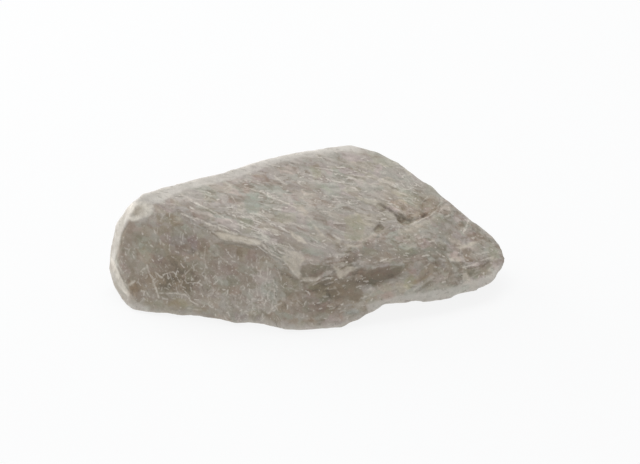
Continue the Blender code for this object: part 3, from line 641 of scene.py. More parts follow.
# fine scratches and lines: width and strength, then the points
PALE_LINES = [
    (1.3, 0.75, [(128, 286), (132, 283), (135, 281)]),
    (1.1, 0.85, [(178, 192), (190, 199), (200, 205)]),
    (0.8, 0.60, [(200, 205), (212, 211), (226, 219)]),
    (1.0, 0.85, [(181, 213), (189, 216), (200, 220), (209, 224)]),
    (1.2, 0.90, [(209, 224), (219, 228), (229, 232), (237, 234)]),
    (0.8, 0.60, [(244, 187), (252, 189), (262, 192)]),
    (1.0, 0.80, [(262, 192), (269, 196), (280, 200), (289, 204), (297, 208)]),
    (1.0, 0.60, [(274, 176), (281, 182), (287, 185)]),
    (0.7, 0.45, [(287, 181), (304, 181)]),
    (0.9, 0.55, [(224, 189), (230, 186)]),
    (0.8, 0.50, [(226, 212), (243, 213)]), (0.8, 0.50, [(237, 217), (259, 216)]),
    (0.8, 0.50, [(231, 196), (236, 202)]),
    (0.8, 0.60, [(262, 235), (276, 243), (292, 248)]),
    (0.8, 0.60, [(262, 238), (276, 248), (282, 254)]),
    (0.8, 0.55, [(264, 228), (274, 230), (283, 233)]),
    (0.7, 0.50, [(269, 241), (287, 249)]),
    (1.5, 0.75, [(240, 238), (253, 240), (263, 245)]),
    (1.2, 0.75, [(263, 245), (271, 253), (283, 261)]),
    (0.9, 0.65, [(283, 261), (291, 269), (299, 278)]),
    (1.0, 0.65, [(301, 281), (316, 280), (319, 278)]),
    (0.8, 0.50, [(313, 285), (325, 278), (332, 278)]),
    (0.8, 0.50, [(307, 259), (312, 264), (316, 265)]),
    (0.8, 0.55, [(283, 223), (294, 223), (302, 227)]),
    (1.0, 0.55, [(334, 235), (340, 239)]),
    (1.0, 0.55, [(359, 196), (368, 199), (377, 200)]),
    (0.8, 0.45, [(351, 174), (364, 176), (383, 179)]), (0.8, 0.45, [(383, 179), (398, 186)]),
    (0.9, 0.60, [(380, 181), (391, 183), (401, 189), (415, 190)]),
    (0.7, 0.40, [(360, 176), (376, 176)]), (0.8, 0.55, [(397, 191), (406, 194)]),
    (0.7, 0.45, [(402, 200), (412, 201), (420, 204), (427, 196)]),
    (1.2, 0.95, [(469, 219), (466, 227), (463, 233)]),
    (0.7, 0.45, [(460, 244), (461, 255)]), (0.8, 0.55, [(437, 252), (441, 255), (444, 257)]),
    (0.8, 0.50, [(449, 259), (456, 260)]),
    (0.9, 0.75, [(463, 267), (473, 265), (479, 261), (491, 258)]),
    (0.8, 0.50, [(424, 267), (430, 263)]),
    (1.0, 0.42, [(434, 277), (428, 280), (421, 286), (414, 290)]), (0.9, 0.25, [(435, 284), (429, 288), (424, 291)]),
    (1.0, 0.80, [(147, 265), (149, 272), (153, 279)]), (1.1, 0.85, [(153, 279), (157, 289), (159, 298)]),
    (0.8, 0.65, [(141, 272), (147, 266)]), (0.9, 0.70, [(155, 272), (162, 278)]),
    (0.8, 0.65, [(163, 275), (173, 272)]), (0.9, 0.60, [(160, 241), (164, 245)]),
    (0.9, 0.75, [(160, 293), (185, 294)]), (0.9, 0.75, [(185, 294), (191, 301), (198, 305)]),
    (0.8, 0.65, [(141, 291), (147, 292), (150, 297)]), (0.7, 0.50, [(183, 276), (191, 268)]),
    (0.7, 0.50, [(186, 283), (198, 283)]), (0.7, 0.50, [(205, 276), (206, 282)]),
    (0.7, 0.50, [(209, 276), (209, 283)]), (0.8, 0.50, [(188, 308), (200, 310)]),
    (0.7, 0.45, [(217, 254), (224, 259), (231, 265)]), (0.7, 0.40, [(205, 249), (204, 258), (206, 263)]),
    (1.3, 0.55, [(197, 253), (198, 254)]), (1.0, 0.50, [(158, 209), (163, 215), (160, 221)]),
    (0.9, 0.60, [(267, 268), (268, 278)]), (0.7, 0.50, [(264, 279), (274, 279)]),
    (0.8, 0.55, [(274, 289), (275, 299)]), (0.7, 0.50, [(261, 295), (264, 306)]),
    (0.9, 0.70, [(268, 314), (274, 306), (281, 303)]), (0.8, 0.50, [(253, 305), (251, 313)]),
    (0.7, 0.45, [(278, 268), (281, 282)]), (0.7, 0.45, [(256, 284), (258, 296)]),
    (1.2, 0.45, [(334, 287), (336, 289)]), (0.8, 0.40, [(337, 291), (340, 294), (337, 295)]),
    (1.2, 0.50, [(405, 229), (407, 229)]), (0.8, 0.60, [(412, 224), (421, 220), (430, 216), (437, 210)]),
    (0.7, 0.50, [(388, 203), (396, 208), (402, 213)]), (1.2, 0.50, [(389, 249), (392, 249)]),
    (1.1, 0.50, [(372, 234), (375, 234)]), (0.9, 0.45, [(374, 241), (378, 242)]),
    (0.8, 0.45, [(405, 240), (410, 240)]),
    (1.1, 0.80, [(112, 259), (118, 272), (122, 282), (129, 292)]),
]
# dark lines: width and strength, then the points; those along the arms of the V break are painted shade in the
# crevice
DARK_LINES = [
    (1.3, 0.75, [(380, 204), (389, 209), (396, 215), (400, 219)]),
    (1.5, 0.80, [(400, 215), (406, 219), (411, 221)]), (0.9, 0.50, [(411, 221), (420, 218), (427, 215)]),
    (0.8, 0.28, [(427, 215), (435, 210), (440, 202), (440, 198)]),
    (0.9, 0.45, [(340, 250), (346, 245)]), (0.8, 0.45, [(338, 251), (344, 254), (353, 251)]),
    (1.0, 0.50, [(374, 230), (380, 224), (383, 229)]), (1.3, 0.45, [(429, 283), (424, 287), (420, 291)]),
    (0.9, 0.45, [(415, 255), (425, 252)]), (0.9, 0.50, [(475, 262), (489, 261), (483, 267)]),
     (0.9, 0.40, [(262, 247), (272, 256), (284, 264)]),
    (0.9, 0.40, [(274, 266), (287, 275), (297, 280)]), (1.1, 0.38, [(221, 243), (240, 245), (258, 248)]),
    (0.9, 0.45, [(128, 224), (123, 233), (121, 244), (117, 256)]),
    (1.0, 0.50, [(119, 268), (124, 283), (131, 294)]),
    (0.8, 0.35, [(204, 276), (203, 268)]), (0.8, 0.35, [(430, 270), (425, 277), (420, 281)]),
    (0.8, 0.35, [(330, 252), (334, 258)]), (0.8, 0.40, [(318, 283), (330, 284)]),
]


# =====================================================================================
# 3. Small relief and the painted fields
# =====================================================================================
def averaged(me, values, passes):
    """values smoothed over the mesh"""
    e = np.empty(len(me.edges) * 2, np.int32)
    me.edges.foreach_get("vertices", e)
    a, b = e[0::2], e[1::2]
    n = len(me.vertices)
    count = np.bincount(a, minlength=n) + np.bincount(b, minlength=n)
    out = values.astype(float).copy()
    for _ in range(passes):
        total = np.bincount(a, out[b], n) + np.bincount(b, out[a], n)
        out = 0.4 * out + 0.6 * total / count
    return out


def edge_field(me, V, N, passes):
    """how far a point stands out from its smoothed surroundings, in mm"""
    soft = np.stack([averaged(me, V[:, k], passes) for k in range(3)], -1)
    return ((V - soft) * N).sum(1)


V_LEFT = [(378, 202), (385, 206), (391, 211), (397, 216), (401, 222), (408, 224)]
V_RIGHT = [(408, 224), (415, 221), (424, 217), (431, 212), (437, 206), (440, 200), (441, 196)]


def broken_corner(V, P):
    """the V-shaped break on the top: deepest along the V, running out uphill"""
    Q = P + np.stack([fractal(V / 1.6, 2, 51), fractal(V / 1.6, 2, 52)], -1) * 2.4
    area = polygon_depth(Q, V_LEFT + V_RIGHT[1:] + [(425, 180), (390, 180)])
    d1, w1 = stroke_distance(Q, V_LEFT)
    d2, w2 = stroke_distance(Q, V_RIGHT)
    inside = smooth01(area, -1.2, 1.8)
    h = -0.95 * np.exp(-d1 / 8.0) * smooth01(w1, 0.1, 0.8)
    h = np.minimum(h, -0.95 * np.exp(-d2 / 8.0) * (1.0 - 0.85 * w2))
    h *= inside
    # lumps of the broken face
    h += 0.75 * fractal(V / 2.4, 2, 53) * blob(P, (412, 207), (26, 12), -8) * inside
    # pits strung along the left arm, and the crevice at the foot of the V
    beads = smooth01(value_noise(V / 0.9, 57), -0.1, 0.5)
    h -= 0.45 * np.exp(-(d1 / 1.7) ** 2) * (0.25 + 0.75 * beads) * smooth01(w1, 0.0, 0.3)
    h -= 0.35 * blob(Q, (404, 219), (5.0, 4.0), 20)
    h -= 0.16 * np.exp(-(d2 / 1.2) ** 2) * (0.3 + 0.7 * beads) * (1.0 - 0.5 * w2)
    # a small three-cornered pit beside it, and one on the left shoulder
    h -= 0.36 * smooth01(polygon_depth(Q, [(373, 231), (377, 223), (382, 221), (385, 229), (381, 232)]), -1.2, 2.4)
    h -= 0.26 * blob(Q, (137, 213), (3.0, 4.5), 15)
    # a pocket near the tip
    pocket = polygon_depth(Q, [(468, 274), (475, 267), (491, 260), (490, 268), (483, 276), (473, 280)])
    h -= 0.26 * smooth01(pocket, -1.0, 2.0)
    return h


def rough(V, seed, length, octaves=2):
    """fractal noise folded so that it breaks into facets"""
    n = fractal(V / length, octaves, seed)
    return 1.0 - 2.0 * np.abs(n)


def relief(me, V, N, P, front):
    """height in mm added along the normal"""
    along = (V @ STREAK)[:, None] * STREAK
    top = smooth01(N @ TOP_NORMAL, 0.55, 0.85)
    lower = lower_right(P) * front
    near_front = smooth01(faces_front(V, N), -0.55, 0.05)
    broken = np.clip(0.50 * lower + (1.0 - near_front) * (1.0 - 0.5 * top), 0.0, 1.0)
    stands = edge_field(me, V, N, 45)
    convex = smooth01(stands, 0.04, 0.55)
    # worn and nicked edges
    nick = smooth01(fractal(V / 4.2, 2, 12), -0.10, 0.50)
    h = -(0.70 - 0.35 * near_front) * convex * nick
    # slow lumps: slight on the ground faces, stronger where the stone is broken
    lump = fractal(V / 7.0, 2, 13)
    h += (0.16 + 0.42 * broken - 0.14 * lower) * lump
    # flaking: low steps that follow the bedding
    level = V @ TOP_NORMAL / 5.5 + 1.5 * fractal(V / 15.0, 2, 14) + 0.35 * fractal(V / 4.0, 2, 17)
    frac = level - np.floor(level)
    h += 0.34 * broken * (1.0 - 0.7 * lower) * (smooth01(frac, 0.0, 0.84) - smooth01(frac, 0.88, 1.0)) * (
        smooth01(fractal(V / 10.0, 1, 15), -0.1, 0.5))
    # facets of the rough break
    h += (0.05 + 0.22 * broken) * rough(V, 16, 4.2)
    # striations: long shallow grooves on the top
    Q = (V - 0.93 * along) / 1.3
    h += 0.090 * fractal(Q, 2, 11) * top * (1.0 - 0.8 * lower)
    Q = (V - 0.85 * along) / 0.75
    h += 0.045 * value_noise(Q, 21) * top * (1.0 - 0.7 * lower)
    # uneven, finely pitted rock
    h += 0.10 * fractal(V / 2.3, 3, 31)
    pits = smooth01(value_noise(V / 1.1, 41), 0.45, 0.9)
    h -= 0.11 * pits * (1.0 - 0.6 * top)
    h += broken_corner(V, P) * front
    facing = faces_front(V, N)
    for centre, half, out, reach in OUTLINE:
        h += out * blob(P, centre, half) * np.exp(-(facing / reach) ** 2)
    # chips are shallow flakes, and their edges stand
    Q = P + np.stack([value_noise(V / 0.9, 54), value_noise(V / 0.9, 55)], -1) * 0.9
    for poly, pale in CHIPS:
        h -= 0.16 * pale * smooth01(polygon_depth(Q, poly), -0.6, 0.8) * front
    for width, strength, line in DARK_LINES:
        d, _ = stroke_distance(P, line)
        h -= 0.25 * strength * (1.0 - smooth01(d, 0.3, width + 1.1)) * front
    for width, strength, line in PALE_LINES:
        d, _ = stroke_distance(P, line)
        h -= 0.05 * strength * (1.0 - smooth01(d, 0.2, width + 0.6)) * front
    return h + 0.10


def nudged(V, P):
    out = np.zeros_like(V)
    for centre, half, right, up in NUDGES:
        out += blob(P, centre, half)[:, None] * (right * np.array([1.0, 0.0, 0.0]) + up * UPWARD)
    return out


def lower_right(P):
    """1 on the broken ground below and to the right of the striated top, 0 elsewhere"""
    line = 268.0 - 0.469 * (P[:, 0] - 300.0)
    return smooth01(P[:, 1] - line, -6.0, 10.0) * smooth01(P[:, 0], 296.0, 322.0)


def field(P, front, ovals):
    out = np.zeros(len(P))
    for centre, half, turn, strength in ovals:
        out = np.maximum(out, strength * blob(P, centre, half, turn))
    return out * front


def offset_from(P, line):
    """signed distance to the side of a polyline, and how far past its ends"""
    pts = np.array(line, float)
    best = np.full(len(P), 1e9)
    side = np.zeros(len(P))
    past = np.zeros(len(P))
    last = len(pts) - 2
    for k, (a, b) in enumerate(zip(pts[:-1], pts[1:])):
        s = b - a
        length = math.hypot(*s)
        s = s / length
        r = P - a
        t = r @ s
        o = r[:, 0] * s[1] - r[:, 1] * s[0]
        over = np.maximum(-t, t - length)
        d = np.hypot(o, np.maximum(over, 0.0))
        near = d < best
        best[near] = d[near]
        end = np.zeros(len(P))
        if k == 0:
            end = np.maximum(end, -t)
        if k == last:
            end = np.maximum(end, t - length)
        past[near] = end[near]
        corner = (over > 0.0) & ~((k == 0) & (t < 0.0)) & ~((k == last) & (t > length))
        side[near] = np.where(corner, np.sign(o) * d, o)[near]
    return side, past, best


def groups(table, gap):
    """share the strokes out so that no two in one group come close"""
    sets = []
    for item in table:
        pts = np.array(item[2], float)
        fine = np.concatenate([a + (b - a) * np.linspace(0.0, 1.0, 12)[:, None]
                               for a, b in zip(pts[:-1], pts[1:])])
        for chosen in sets:
            if all(np.min(np.linalg.norm(fine[:, None] - f[None], axis=2)) > gap for _, f in chosen):
                chosen.append((item, fine))
                break
        else:
            sets.append([(item, fine)])
    return [[item for item, _ in chosen] for chosen in sets]


def stroke_fields(me, name, P, front, table):
    """two numbers a group: how far to the side of the nearest stroke, and its strength"""
    shared = groups(table, 4.5)
    for k, chosen in enumerate(shared):
        off = np.full(len(P), 9.0)
        amp = np.zeros(len(P))
        near = np.full(len(P), 1e9)
        for width, strength, line in chosen:
            width = 1.35 * width
            side, past, d = offset_from(P, line)
            use = d < near
            near[use] = d[use]
            off[use] = (side / width)[use]
            fade = 1.0 - smooth01(past, -0.6, 1.2)
            amp[use] = (strength * fade * (1.0 - smooth01(d, 2.0, 3.4)))[use]
        amp *= front
        at = me.attributes.new("%s%d" % (name, k), "FLOAT_VECTOR", "POINT")
        at.data.foreach_set("vector", np.column_stack([off, amp, amp * 0.0]).astype(np.float32).ravel())
    return len(shared)


def flow_angle(V, P):
    """which way the streaks run in the view, in degrees down to the right"""
    a = 11.0 + 12.0 * fractal(V / 7.0, 2, 201) - 9.0 * blob(P, (330.0, 188.0), (46.0, 26.0), 0.0)
    a += 18.0 * blob(P, (276.0, 243.0), (46.0, 20.0), 28.0)
    low = lower_right(P)
    a += 16.0 * smooth01(P[:, 0], 430.0, 448.0)
    return a * (1.0 - low) - 10.0 * low


def flow(V, N, P, facing):
    """unit direction in the surface that the streaks follow"""
    top = np.maximum(smooth01(N @ TOP_NORMAL, 0.60, 0.88), lower_right(P))
    angle = np.radians(flow_angle(V, P) * top + 78.0 * (1.0 - top))
    d = np.cos(angle)[:, None] * np.array([1.0, 0.0, 0.0]) - np.sin(angle)[:, None] * UPWARD
    slope = np.minimum(N @ FORWARD, -0.12)
    seen = d - FORWARD * ((d * N).sum(1) / slope)[:, None]
    swing = 0.35 * np.stack([value_noise(V / 9.0, 211 + k) for k in range(3)], -1)
    hidden = STREAK + swing
    out = np.where((facing > 0.15)[:, None], seen, hidden)
    out = out - N * (out * N).sum(1)[:, None]
    return out / np.linalg.norm(out, axis=1)[:, None]


def vertex_area(me):
    """the share of the surface that each vertex stands for, in square mm"""
    me.calc_loop_triangles()
    tri = np.empty(len(me.loop_triangles) * 3, np.int32)
    me.loop_triangles.foreach_get("vertices", tri)
    size = np.empty(len(me.loop_triangles))
    me.loop_triangles.foreach_get("area", size)
    return np.bincount(tri, np.repeat(size, 3), len(me.vertices)) / (3.0 * MM * MM)


class Strokes:
    """short tapered marks scattered over the surface and painted on its vertices"""
    def __init__(self, V, N, T, share):
        self.V, self.N, self.T, self.share = V, N, T, share
        self.tree = KDTree(len(V))
        for k, p in enumerate(V):
            self.tree.insert(p, k)
        self.tree.balance()

    def paint(self, seed, per_cm2, where, length, width, strength, turn, shadow=0.0, spread=1.0):
        """lengths and widths in mm; returns how strongly each vertex is marked, and its dark edge, a painted shadow
        beside the mark
        """
        rng = np.random.RandomState(seed)
        chance = self.share * where
        count = int(per_cm2 * chance.sum() / 100.0)
        pale = np.zeros(len(self.V))
        dark = np.zeros(len(self.V))
        for c in rng.choice(len(self.V), count, p=chance / chance.sum()):
            f = rng.rand(6)
            half = 0.5 * length[0] * (length[1] / length[0]) ** (f[0] ** spread)
            w = width[0] + (width[1] - width[0]) * f[1]
            amount = strength[0] + (strength[1] - strength[0]) * f[2] ** 1.6
            a = math.radians(turn * (2.0 * f[3] - 1.0))
            n, t = self.N[c], self.T[c]
            b = np.cross(n, t)
            t, b = t * math.cos(a) + b * math.sin(a), b * math.cos(a) - t * math.sin(a)
            idx = np.array([hit[1] for hit in self.tree.find_range(self.V[c], half + 2.0 * w)])
            r = self.V[idx] - self.V[c]
            x = (r @ t) / half
            lean = 1.0 - 0.45 * x * (1.0 if f[4] < 0.5 else -1.0)
            y = r @ b - (f[5] - 0.5) * 0.30 * half * x * x
            body = w * np.sqrt(np.clip(1.0 - x * x, 0.0, 1.0)) * lean + 1e-4
            mark = amount * (1.0 - smooth01(np.abs(y) / body, 0.60, 1.15))
            pale[idx] = np.maximum(pale[idx], mark)
            # a painted shadow along one side of the mark
            if shadow > 0.0:
                edge = amount * shadow * (1.0 - smooth01(np.abs(y + 1.7 * w) / body, 0.5, 1.3))
                dark[idx] = np.maximum(dark[idx], edge)
        return pale, dark * (1.0 - pale)


# calcite white, also used as a painted highlight
CALCITE_AND_HIGHLIGHT = np.array([0.775, 0.728, 0.645])
BASE = np.array([0.343, 0.3085, 0.271])
CREAM = np.array([0.60, 0.545, 0.455])
# colour of the painted rim highlight and the pale worn edges
RIM_HIGHLIGHT_AND_WEAR = np.array([0.600, 0.570, 0.525])
STREAK_PALE = np.array([0.605, 0.566, 0.508])
STREAK_DARK = np.array([0.150, 0.128, 0.100])


def rock_and_painted_light_colour(me, V, N, P, facing, front, stands):
    """the colour of the rock down to about a third of a millimetre, with painted light and shade in it, and how
    striated it is
    """
    hidden = 1.0 - front
    top = smooth01(N @ TOP_NORMAL, 0.60, 0.88)
    back = smooth01(N[:, 1], 0.2, 0.7)
    under = smooth01(-N[:, 2], 0.2, 0.7)
    lower = lower_right(P) * front
    streaky = np.clip(top * (1.0 - 0.9 * lower) + 0.45 * back + 0.4 * under, 0.0, 1.0)

    wobble = np.stack([value_noise(V / 1.7, 61), value_noise(V / 1.7, 62)], -1) * 1.6
    wobble += np.stack([value_noise(V / 5.0, 63), value_noise(V / 5.0, 64)], -1) * 2.0
    PW = P + wobble
    T = flow(V, N, P, facing)
    warp = np.stack([fractal(V / 2.0, 2, 91 + k) for k in range(3)], -1)
    along = (V @ STREAK)[:, None] * STREAK
    drawn = V - (0.28 + 0.27 * streaky)[:, None] * along
    _, pick = cellular((drawn + 0.8 * warp) / 2.6, 101)
    _, small = cellular((drawn + 0.5 * warp) / 1.35, 131)
    _, crumb = cellular((drawn + 0.3 * warp) / 0.75, 161)
    slab = V - 0.70 * (V @ BED)[:, None] * BED
    _, bed = cellular((slab + 0.45 * warp) / 1.5, 141)

    # lightness
    t = 1.0 + 0.10 * fractal(V / 9.0, 2, 71) + 0.16 * (pick[:, 0] - 0.5) + (0.16 + 0.05 * top * front) * (small[:, 0] - 0.5)
    t += 0.10 * (crumb[:, 0] - 0.5) * (1.0 + 0.3 * lower + 0.9 * top * front) + 0.07 * fractal(V / 2.6, 2, 72)
    t += lower * (0.38 * (bed[:, 0] - 0.5) + 0.16 * fractal((V - 0.8 * (V @ BED)[:, None] * BED) / 0.9, 2, 77))
    t += hidden * (0.16 * fractal(V / 5.5, 2, 76) + 0.12 * (pick[:, 0] - 0.5))
    bend = 0.9 * np.stack([value_noise(V / 8.0, 75 + k) for k in range(3)], -1)
    t += 0.10 * fractal((V + bend - 0.78 * along) / 1.3, 2, 73) * streaky
    t = 1.0 + (t - 1.0) * (1.15 + 0.25 * top - 0.35 * lower)
    # tone ovals, painted light along the lower right edge and painted shade in the V break and the trough among them
    for centre, half, turn, strength in TONES_AND_PAINTED_LIGHT:
        t += strength * blob(PW, centre, half, turn) * front
    # paler where the surface stands out, as worn edges; darker in hollows and creases as painted shade
    t += 0.12 * smooth01(stands, 0.05, 0.42) - 0.16 * smooth01(-stands, 0.04, 0.30)
    # patches with a fairly sharp edge, with painted shade and painted light among them
    PQ = P + 0.9 * wobble
    stain = np.ones((len(V), 3))
    for poly, tone, rgb in PATCHES_AND_PAINTED_SHADE:
        fac = smooth01(polygon_depth(PQ, poly), -0.8, 0.6) * front
        t += tone * fac
        stain *= 1.0 + 0.70 * fac[:, None] * (np.array(rgb) - 1.0)
    for poly, level, even in EVEN_AND_PAINTED_LIGHT:
        fac = even * smooth01(polygon_depth(P + 0.7 * wobble, poly), -0.8, 0.7) * front
        t = t * (1.0 - fac) + level * fac
    # the darker the rock the warmer, and warmer on the front faces below the top as a painted tint of light bounced
    # between the faces
    warm = np.clip(1.0 - t + 0.14 * (1.0 - top) * front, -0.04, 0.4)
    t *= 1.0 - 0.22 * hidden * (1.0 - top)
    colour = BASE * t[:, None] * (1.0 - warm[:, None] * np.array([0.0, 0.22, 0.50])) * stain

    # tints: a little of each everywhere, then the larger stains
    def tint(fac, rgb):
        return colour * (1.0 + np.clip(fac, 0.0, 1.0)[:, None] * (np.array(rgb) - 1.0))
    colour = tint(smooth01(pick[:, 1], 0.60, 0.90), (0.965, 1.012, 0.99))
    colour = tint(smooth01(pick[:, 2], 0.60, 0.90), (1.015, 0.972, 1.005))
    colour = tint(smooth01(pick[:, 1], 0.40, 0.10), (1.01, 1.0, 0.95))
    colour = tint(smooth01(small[:, 1], 0.60, 1.0), (1.01, 0.98, 0.98))
    colour = tint(smooth01(small[:, 2], 0.60, 1.0), (0.975, 1.012, 0.99))
    colour = tint(lower * smooth01(bed[:, 1], 0.55, 0.75), (0.985, 1.004, 1.01))
    colour = tint(lower * smooth01(bed[:, 2], 0.60, 0.80), (1.01, 0.988, 0.985))
    colour *= 1.0 + (top * front * (1.0 - lower))[:, None] * np.array([0.010, 0.018, 0.028])
    chance = [fractal(V / size, 2, 81 + k) for k, size in enumerate((7.0, 6.0, 6.5, 6.0, 3.2))]
    colour = tint(0.7 * (field(PW, front, GREEN) + hidden * smooth01(chance[2], 0.25, 0.7)), (0.935, 1.015, 0.99))
    colour = tint(0.7 * (field(PW, front, PINK) + hidden * smooth01(chance[3], 0.30, 0.7)), (1.02, 0.962, 1.005))
    colour = tint(0.7 * (field(PW, front, OLIVE) + hidden * smooth01(chance[1], 0.25, 0.7)), (1.01, 1.00, 0.87))
    colour = tint(0.8 * field(PW, front, OCHRE) + 0.6 * hidden * smooth01(chance[0], 0.42, 0.8), (1.05, 0.93, 0.80))

    # pale chips
    chip = np.zeros(len(V))
    Q = P + 0.55 * wobble
    for poly, pale in CHIPS:
        chip = np.maximum(chip, pale * smooth01(polygon_depth(Q, poly), -1.0, 1.0))
    chip = chip * front + hidden * 0.6 * smooth01(chance[4], 0.50, 0.62)
    chip = np.clip(chip * (0.85 + 0.6 * fractal(V / 1.0, 2, 92)), 0.0, 1.0)[:, None]
    colour = colour * (1.0 - chip) + CREAM * chip

    # the pale bands along the outline: painted rim highlight, partly paler worn edges
    rim_highlight_and_wear = np.zeros(len(V))
    for half, strength, line in RIM_HIGHLIGHTS:
        d, _ = stroke_distance(P + 0.5 * wobble, line)
        rim_highlight_and_wear = np.maximum(rim_highlight_and_wear, strength * np.exp(-(d / half) ** 2))
    for poly, strength in WORN_EDGES_AND_HIGHLIGHTS:
        rim_highlight_and_wear = np.maximum(rim_highlight_and_wear, strength * smooth01(polygon_depth(P + 0.5 * wobble, poly), -1.6, 1.6))
    uneven_rim_highlight = 0.92 + 0.25 * fractal(V / 1.6, 2, 93)
    aside = smooth01(facing, 0.55, 0.15) * (1.0 - 0.85 * smooth01(P[:, 0], 340.0, 380.0) * front)
    uneven_rim_highlight += (0.90 * fractal(V / 2.8, 3, 94) + 0.45 * (small[:, 0] - 0.5)) * aside
    rim_highlight_and_wear = np.clip(rim_highlight_and_wear * smooth01(facing, -0.30, 0.02) * uneven_rim_highlight, 0.0, 1.0)[:, None]
    colour = colour * (1.0 - rim_highlight_and_wear) + RIM_HIGHLIGHT_AND_WEAR * rim_highlight_and_wear
    # calcite spots, pushed into a painted highlight on the pale U and the lower left edge
    for poly, strength in WHITE_AND_HIGHLIGHTS:
        fac = strength * smooth01(polygon_depth(P + 0.65 * wobble, poly), -1.0, 0.8) * smooth01(facing, -0.3, 0.0)
        fac = np.clip(fac * (0.8 + 0.9 * fractal(V / 1.1, 2, 95)), 0.0, 1.0)[:, None]
        colour = colour * (1.0 - fac) + CALCITE_AND_HIGHLIGHT * fac

    # streaks, scratches and specks
    marks = Strokes(V, N, T, vertex_area(me))
    calm = np.ones(len(V))
    for centre, half, turn, amount in STREAKED:
        calm += amount * blob(PW, centre, half, turn) * front
    calm = np.clip(calm, 0.04, 3.0) ** 1.25 * smooth01(value_noise(V / 4.0, 221), -0.7, 0.3)
    on_top = np.clip(streaky * (1.0 - lower), 0.0, 1.0) * calm * (1.0 - 0.8 * hidden)
    off_top = np.clip(1.0 - streaky, 0.0, 1.0) * (1.0 - lower)
    cluster = 0.16 - 0.10 * hidden
    for centre, half, turn, amount in SPECKED:
        cluster += amount * blob(PW, centre, half, turn) * front
    quiet = (1.0 - chip[:, 0]) * (1.0 - 0.6 * rim_highlight_and_wear[:, 0])
    specked = off_top * cluster
    bare = lower * (1.0 - 0.80 * field(PW, front, [((480, 269), (10, 7), -16, 1.0), ((440, 290), (24, 6), -8, 0.9),
                                                    ((346, 291), (26, 13), 0, 1.0), ((388, 274), (20, 8), -10, 1.0),
                                                    ((312, 271), (14, 8), 0, 1.0)]))
    layers = [
        # long thin, medium and short streaks of the top
        marks.paint(301, 3, on_top, (3.5, 7.5), (0.15, 0.22), (0.25, 0.85), 12, 0.60),
        marks.paint(302, 8.5, on_top, (1.3, 4.0), (0.15, 0.28), (0.25, 1.15), 20, 0.65),
        marks.paint(303, 32, on_top, (0.45, 1.6), (0.15, 0.26), (0.30, 1.25), 45, 0.40),
        # off the top: specks and short scratches
        marks.paint(311, 64, specked, (0.30, 1.9), (0.12, 0.21), (0.40, 1.15), 75, 0.0, 1.3),
        marks.paint(312, 14, specked, (1.0, 2.8), (0.14, 0.20), (0.35, 1.05), 65, 0.4),
        # the broken ground on the right
        marks.paint(321, 5, lower, (1.0, 3.4), (0.18, 0.30), (0.25, 0.85), 14, 0.7),
        marks.paint(322, 19, bare, (0.25, 1.4), (0.14, 0.24), (0.35, 1.30), 50, 0.0, 1.6),
    ]
    pale = np.max([layer[0] for layer in layers], axis=0) * quiet
    # the dark edges beside the streaks are painted shadows
    edge = np.max([layer[1] for layer in layers], axis=0) * quiet
    shade, _ = marks.paint(331, 15, 0.8 * on_top + 0.7 * specked + 0.8 * lower, (0.8, 2.6), (0.16, 0.34), (0.30, 0.95), 20)
    gather = 0.30 + 0.50 * lower + 0.5 * rim_highlight_and_wear[:, 0]
    for centre, half, turn, amount in DOTTED:
        gather += amount * blob(PW, centre, half, turn) * front
    dots, _ = marks.paint(332, 22, gather, (0.3, 0.7), (0.16, 0.28), (0.30, 1.00), 90)
    speckled = (1.0 - chip[:, 0]) * (1.0 - 0.15 * rim_highlight_and_wear[:, 0])
    dark = np.clip(np.maximum(np.maximum(shade, dots) * speckled, edge), 0.0, 1.0)
    pale = np.clip(pale, 0.0, 1.0)
    dark *= 1.0 - pale
    colour = colour * (1.0 - 0.55 * dark[:, None]) + STREAK_DARK * 0.55 * dark[:, None]
    colour = colour * (1.0 - 0.86 * pale[:, None]) + STREAK_PALE * 0.86 * pale[:, None]
    return colour, streaky


stone_groups = {}


